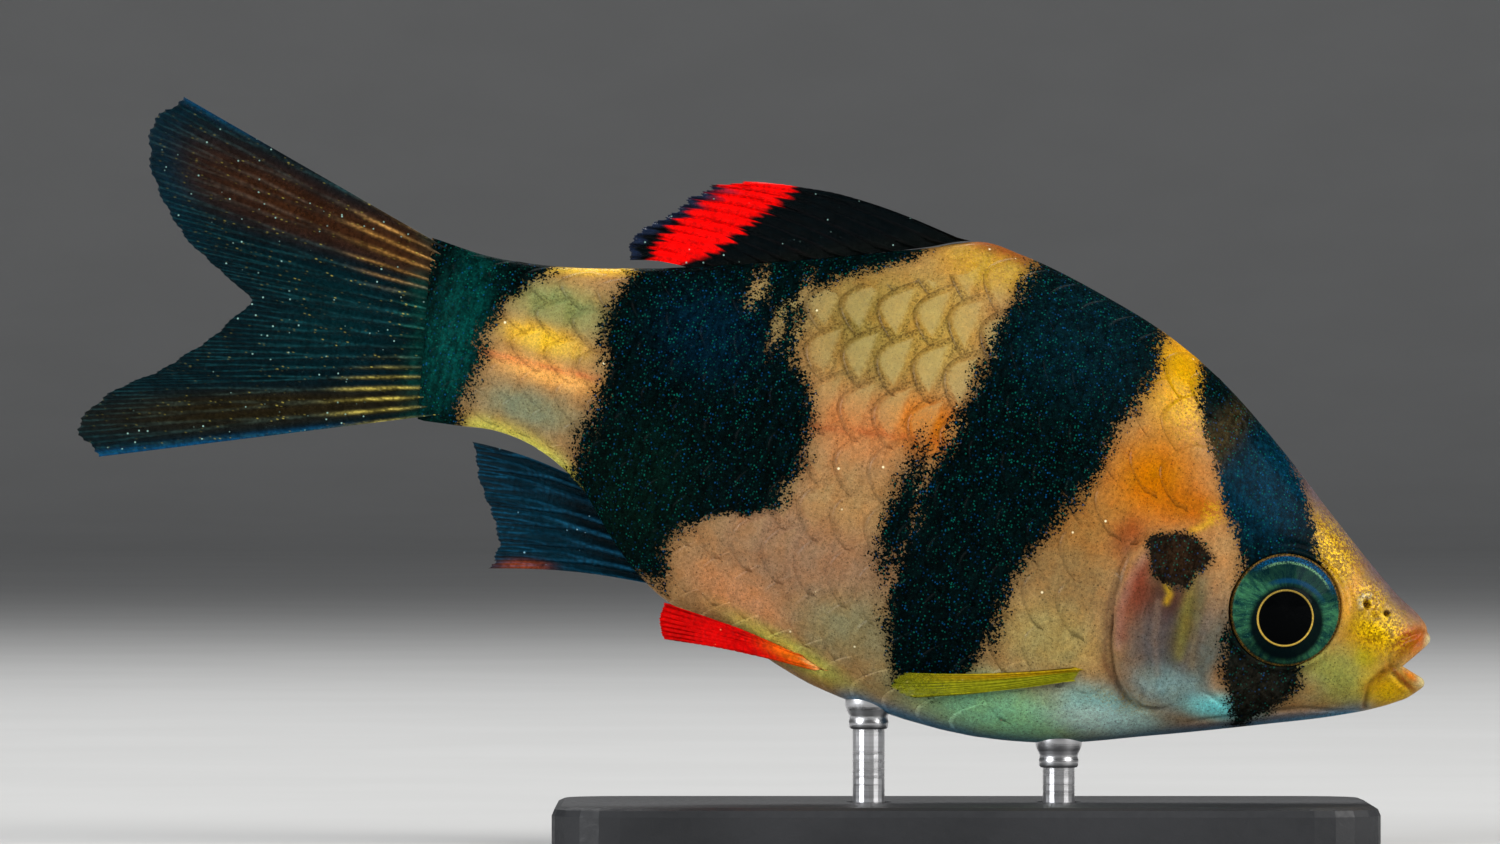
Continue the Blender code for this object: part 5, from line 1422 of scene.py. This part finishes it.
def eye_piece(name, node, side, material):
    ring, spoke = np.meshgrid(np.linspace(0.001, 1, EYE_RINGS), np.arange(EYE_SPOKES) * 2 * math.pi / EYE_SPOKES,
                              indexing="ij")
    across, up = ring * np.cos(spoke), ring * np.sin(spoke)
    radius = EYE_RADIUS * ring
    bulge = np.sqrt(DOME_RADIUS**2 - radius**2) - math.sqrt(DOME_RADIUS**2 - EYE_RADIUS**2)
    from_pupil = np.hypot(across * EYE_RADIUS - PUPIL_SHIFT[0], up * EYE_RADIUS - PUPIL_SHIFT[1])
    from_shadow = np.hypot(across * EYE_RADIUS - SHADOW_SHIFT[0], up * EYE_RADIUS - SHADOW_SHIFT[1])
    relief = 0.03 * hill(from_pupil - 1.24, 0.08) + 0.03 * hill(radius - 2.31, 0.07)
    outer_y = bulge + relief
    back_rows = [(1.0, -0.35), (0.8, -1.0), (0.4, -1.35), (0.001, -1.4)]
    local = [np.stack([across * EYE_RADIUS, outer_y, up * EYE_RADIUS], -1)]
    for share, depth in back_rows:
        angle = spoke[0]
        local.append(np.stack([share * EYE_RADIUS * np.cos(angle), np.full(EYE_SPOKES, depth),
                               share * EYE_RADIUS * np.sin(angle)], -1)[None])
    local = np.concatenate(local)
    turned_x = local[..., 0] * math.cos(EYE_TURN) + local[..., 1] * math.sin(EYE_TURN)
    turned_y = local[..., 1] * math.cos(EYE_TURN) - local[..., 0] * math.sin(EYE_TURN)
    s, z = EYE_PLACE
    points = np.stack([turned_x - s, side * (turned_y + float(side_at(s, z)) - EYE_SINK), local[..., 2] + z], -1)
    rows = len(points)
    faces = grid_faces(rows, EYE_SPOKES, closed=True)
    faces = np.concatenate([faces, closed_by(EYE_SPOKES, 0, False), closed_by(EYE_SPOKES, (rows - 1) * EYE_SPOKES, True)])
    if side < 0:
        faces = faces[:, ::-1]
    behind = np.full((len(back_rows), EYE_SPOKES), EYE_RADIUS)
    facts = {"radius": radius, "from_pupil": from_pupil, "from_shadow": from_shadow, "height": up * EYE_RADIUS}
    facts = {key: np.concatenate([values, behind]).ravel() for key, values in facts.items()}
    streaks = np.stack([np.cos(spoke) * 7, np.sin(spoke) * 7, radius * 1.2], -1)
    streaks = np.concatenate([streaks, np.zeros((len(back_rows), EYE_SPOKES, 3))])
    made = make_mesh(name, points.reshape(-1, 3), faces, facts)
    made.data.attributes.new("streaks", "FLOAT_VECTOR", "POINT").data.foreach_set(
        "vector", streaks.astype(np.float32).ravel())
    made.data.materials.append(material)
    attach(made, BODY)
    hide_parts(node)
    report(made)


eye_finish = eye_material()
eye_piece("fish_eye_left", "eye_left", 1, eye_finish)
eye_piece("fish_eye_right", "eye_right", -1, eye_finish)

# %% [markdown]
# ## The stand
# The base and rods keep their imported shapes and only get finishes: satin black with a faint grain for the base,
# and brushed steel for the rods, whose fine lines run round them as a lathe leaves them.

# %% Finish the stand
def base_material():
    n = Nodes("satin_black")
    where = n.tree.nodes.new("ShaderNodeTexCoord").outputs["Object"]
    grain = n.noise(where, 2600.0, 3.0, 0.7)
    cloud = n.noise(where, 90.0, 3.0)
    colour = n.mix(n.step(cloud, 0.3, 0.7), (0.014, 0.015, 0.017), (0.026, 0.027, 0.03))
    return n.finish(Base_Color=colour, Roughness=n.step(grain, 0.3, 0.7, 0.46, 0.6), Normal=n.bump(grain, 0.02),
                    Specular_IOR_Level=0.3)


def steel_material():
    n = Nodes("brushed_steel")
    where = n.tree.nodes.new("ShaderNodeTexCoord").outputs["Object"]
    stretch = n.tree.nodes.new("ShaderNodeMapping")
    stretch.inputs["Scale"].default_value = (60.0, 60.0, 4200.0)
    n.put(stretch.inputs["Vector"], where)
    lines = n.noise(stretch.outputs[0], 1.0, 3.0, 0.6)
    colour = n.mix(n.step(lines, 0.3, 0.7), (0.48, 0.48, 0.49), (0.68, 0.68, 0.7))
    return n.finish(Base_Color=colour, Metallic=1.0, Roughness=n.step(lines, 0.3, 0.7, 0.24, 0.4),
                    Normal=n.bump(lines, 0.01))


finishes = {"stand_base": base_material(), "stand_rod_front": steel_material()}
finishes["stand_rod_rear"] = finishes["stand_rod_front"]
for node, finish in finishes.items():
    for material_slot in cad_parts[node].material_slots:
        material_slot.material = finish
    print(node, "wears", finish.name)

# %% [markdown]
# ## Cups under the belly
# A rod that only touches a belly looks as if the fish floats. On a real mount each rod ends in a small turned cup
# that is fixed to the belly and hides the joint. A lathe shape is a profile turned round an axis, so a short list
# of steps out from the rod and up from its end is all that it takes.

# %% Turn the cups
CUP_PROFILE = [(0.02, -0.9), (0.1, -0.88), (0.16, -0.8), (0.17, -0.55), (0.13, -0.45), (0.15, -0.3), (0.26, -0.08),
               (0.32, 0.1), (0.32, 0.5), (0.2, 1.0), (-0.5, 1.0)]  # out from the rod's side, up from its top
CUP_SPOKES = 48


def cup_piece(name, rod):
    low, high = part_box(rod)
    middle, radius = (low + high) / 2, (high[0] - low[0]) / 2
    turns = np.arange(CUP_SPOKES) * 2 * math.pi / CUP_SPOKES
    points = [(middle[0] + (radius + out * MM) * math.cos(t), middle[1] + (radius + out * MM) * math.sin(t),
               high[2] + up * MM) for out, up in CUP_PROFILE for t in turns]
    faces = [tuple(face) for face in grid_faces(len(CUP_PROFILE), CUP_SPOKES, closed=True)]
    last = (len(CUP_PROFILE) - 1) * CUP_SPOKES
    faces += [tuple(range(last, last + CUP_SPOKES)), tuple(range(CUP_SPOKES - 1, -1, -1))]
    mesh = bpy.data.meshes.new(name)
    mesh.from_pydata(points, [], faces)
    mesh.polygons.foreach_set("use_smooth", np.ones(len(mesh.polygons), bool))
    mesh.materials.append(finishes[rod])
    cup = bpy.data.objects.new(name, mesh)
    bpy.context.scene.collection.objects.link(cup)
    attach(cup, BODY)
    report(cup)


cup_piece("stand_cup_front", "stand_rod_front")
cup_piece("stand_cup_rear", "stand_rod_rear")

# %% [markdown]
# ## Floor, light and camera
# A pale floor that curves up far away on every side has no horizon, from whichever side the model is looked at.
# One large soft lamp ahead of the head lights its side, a weaker one fills from the tail's end, and a third
# behind draws the edge of the back. The usual filmic view pales strong colours, and this fish is all strong
# reds and yellows, so the plain one is used and the lamps are kept low enough for it.

# %% Floor and lamps
FLOOR_FLAT, FLOOR_REACH, FLOOR_RISE = 1.4, 2.2, 1.15  # metres


def build_floor():
    turns = np.arange(96) * 2 * math.pi / 96
    arc = np.linspace(0, QUARTER, 18)
    radii = np.concatenate([[0.02, 0.3, 0.8], FLOOR_FLAT + (FLOOR_REACH - FLOOR_FLAT) * np.sin(arc)])
    heights = np.concatenate([[0.0, 0.0, 0.0], FLOOR_RISE * (1 - np.cos(arc))])
    points = [(r * math.cos(t), r * math.sin(t), h) for r, h in zip(radii, heights) for t in turns]
    mesh = bpy.data.meshes.new("floor")
    faces = [tuple(face) for face in grid_faces(len(radii), 96, closed=True)] + [tuple(range(95, -1, -1))]
    mesh.from_pydata(points, [], faces)
    mesh.polygons.foreach_set("use_smooth", np.ones(len(mesh.polygons), bool))
    floor = bpy.data.objects.new("floor", mesh)
    bpy.context.scene.collection.objects.link(floor)
    n = Nodes("pale_paper")
    where = n.tree.nodes.new("ShaderNodeTexCoord").outputs["Object"]
    tone = n.mix(n.step(n.noise(where, 40.0), 0.3, 0.7), (0.52, 0.52, 0.515), (0.54, 0.54, 0.535))
    mesh.materials.append(n.finish(Base_Color=tone, Roughness=0.85, Specular_IOR_Level=0.2))


def add_lamp(name, place, target, size, power, colour=(1, 1, 1)):
    light = bpy.data.lights.new(name, "AREA")
    light.shape = "DISK"
    light.size = size
    light.energy = power
    light.color = colour
    lamp = bpy.data.objects.new(name, light)
    lamp.location = place
    lamp.rotation_euler = (Vector(target) - Vector(place)).to_track_quat("-Z", "Y").to_euler()
    bpy.context.scene.collection.objects.link(lamp)


FISH_MIDDLE = (0.0, 0.0, 0.018)
build_floor()
add_lamp("key", (0.47, -0.27, 0.3), FISH_MIDDLE, 0.44, 4.6, (1.0, 0.985, 0.96))
add_lamp("fill", (-0.48, -0.32, 0.2), FISH_MIDDLE, 0.34, 3.3, (0.97, 0.985, 1.0))
add_lamp("rim", (-0.05, 0.32, 0.46), FISH_MIDDLE, 0.3, 1.8)
world = bpy.data.worlds.new("studio")
world.use_nodes = True
world.node_tree.nodes["Background"].inputs["Color"].default_value = (0.92, 0.95, 1.0, 1)
world.node_tree.nodes["Background"].inputs["Strength"].default_value = 0.14
bpy.context.scene.world = world
bpy.context.scene.view_settings.view_transform = "Standard"  # keeps the pure reds and yellows pure

# %% [markdown]
# ## The camera
# The picture was taken level with the fish and square to its side, from far enough away that the tail isn't drawn
# smaller than the head. A long lens gives that. Its focal length follows from how wide the frame is at the fish.

# %% Camera
FRAME_WIDTH = 65.9  # millimetres across the picture at the fish
FRAME_MIDDLE = (-0.13, 18.69)
CAMERA_AWAY = 600.0
camera_data = bpy.data.cameras.new("camera")
camera_data.lens = camera_data.sensor_width * CAMERA_AWAY / FRAME_WIDTH
camera_data.clip_start = 0.01
camera = bpy.data.objects.new("camera", camera_data)
camera.location = (FRAME_MIDDLE[0] * MM, -CAMERA_AWAY * MM, FRAME_MIDDLE[1] * MM)
camera.rotation_euler = (QUARTER, 0, 0)
bpy.context.scene.collection.objects.link(camera)
bpy.context.scene.camera = camera
print("lens, mm:", round(camera_data.lens, 1))
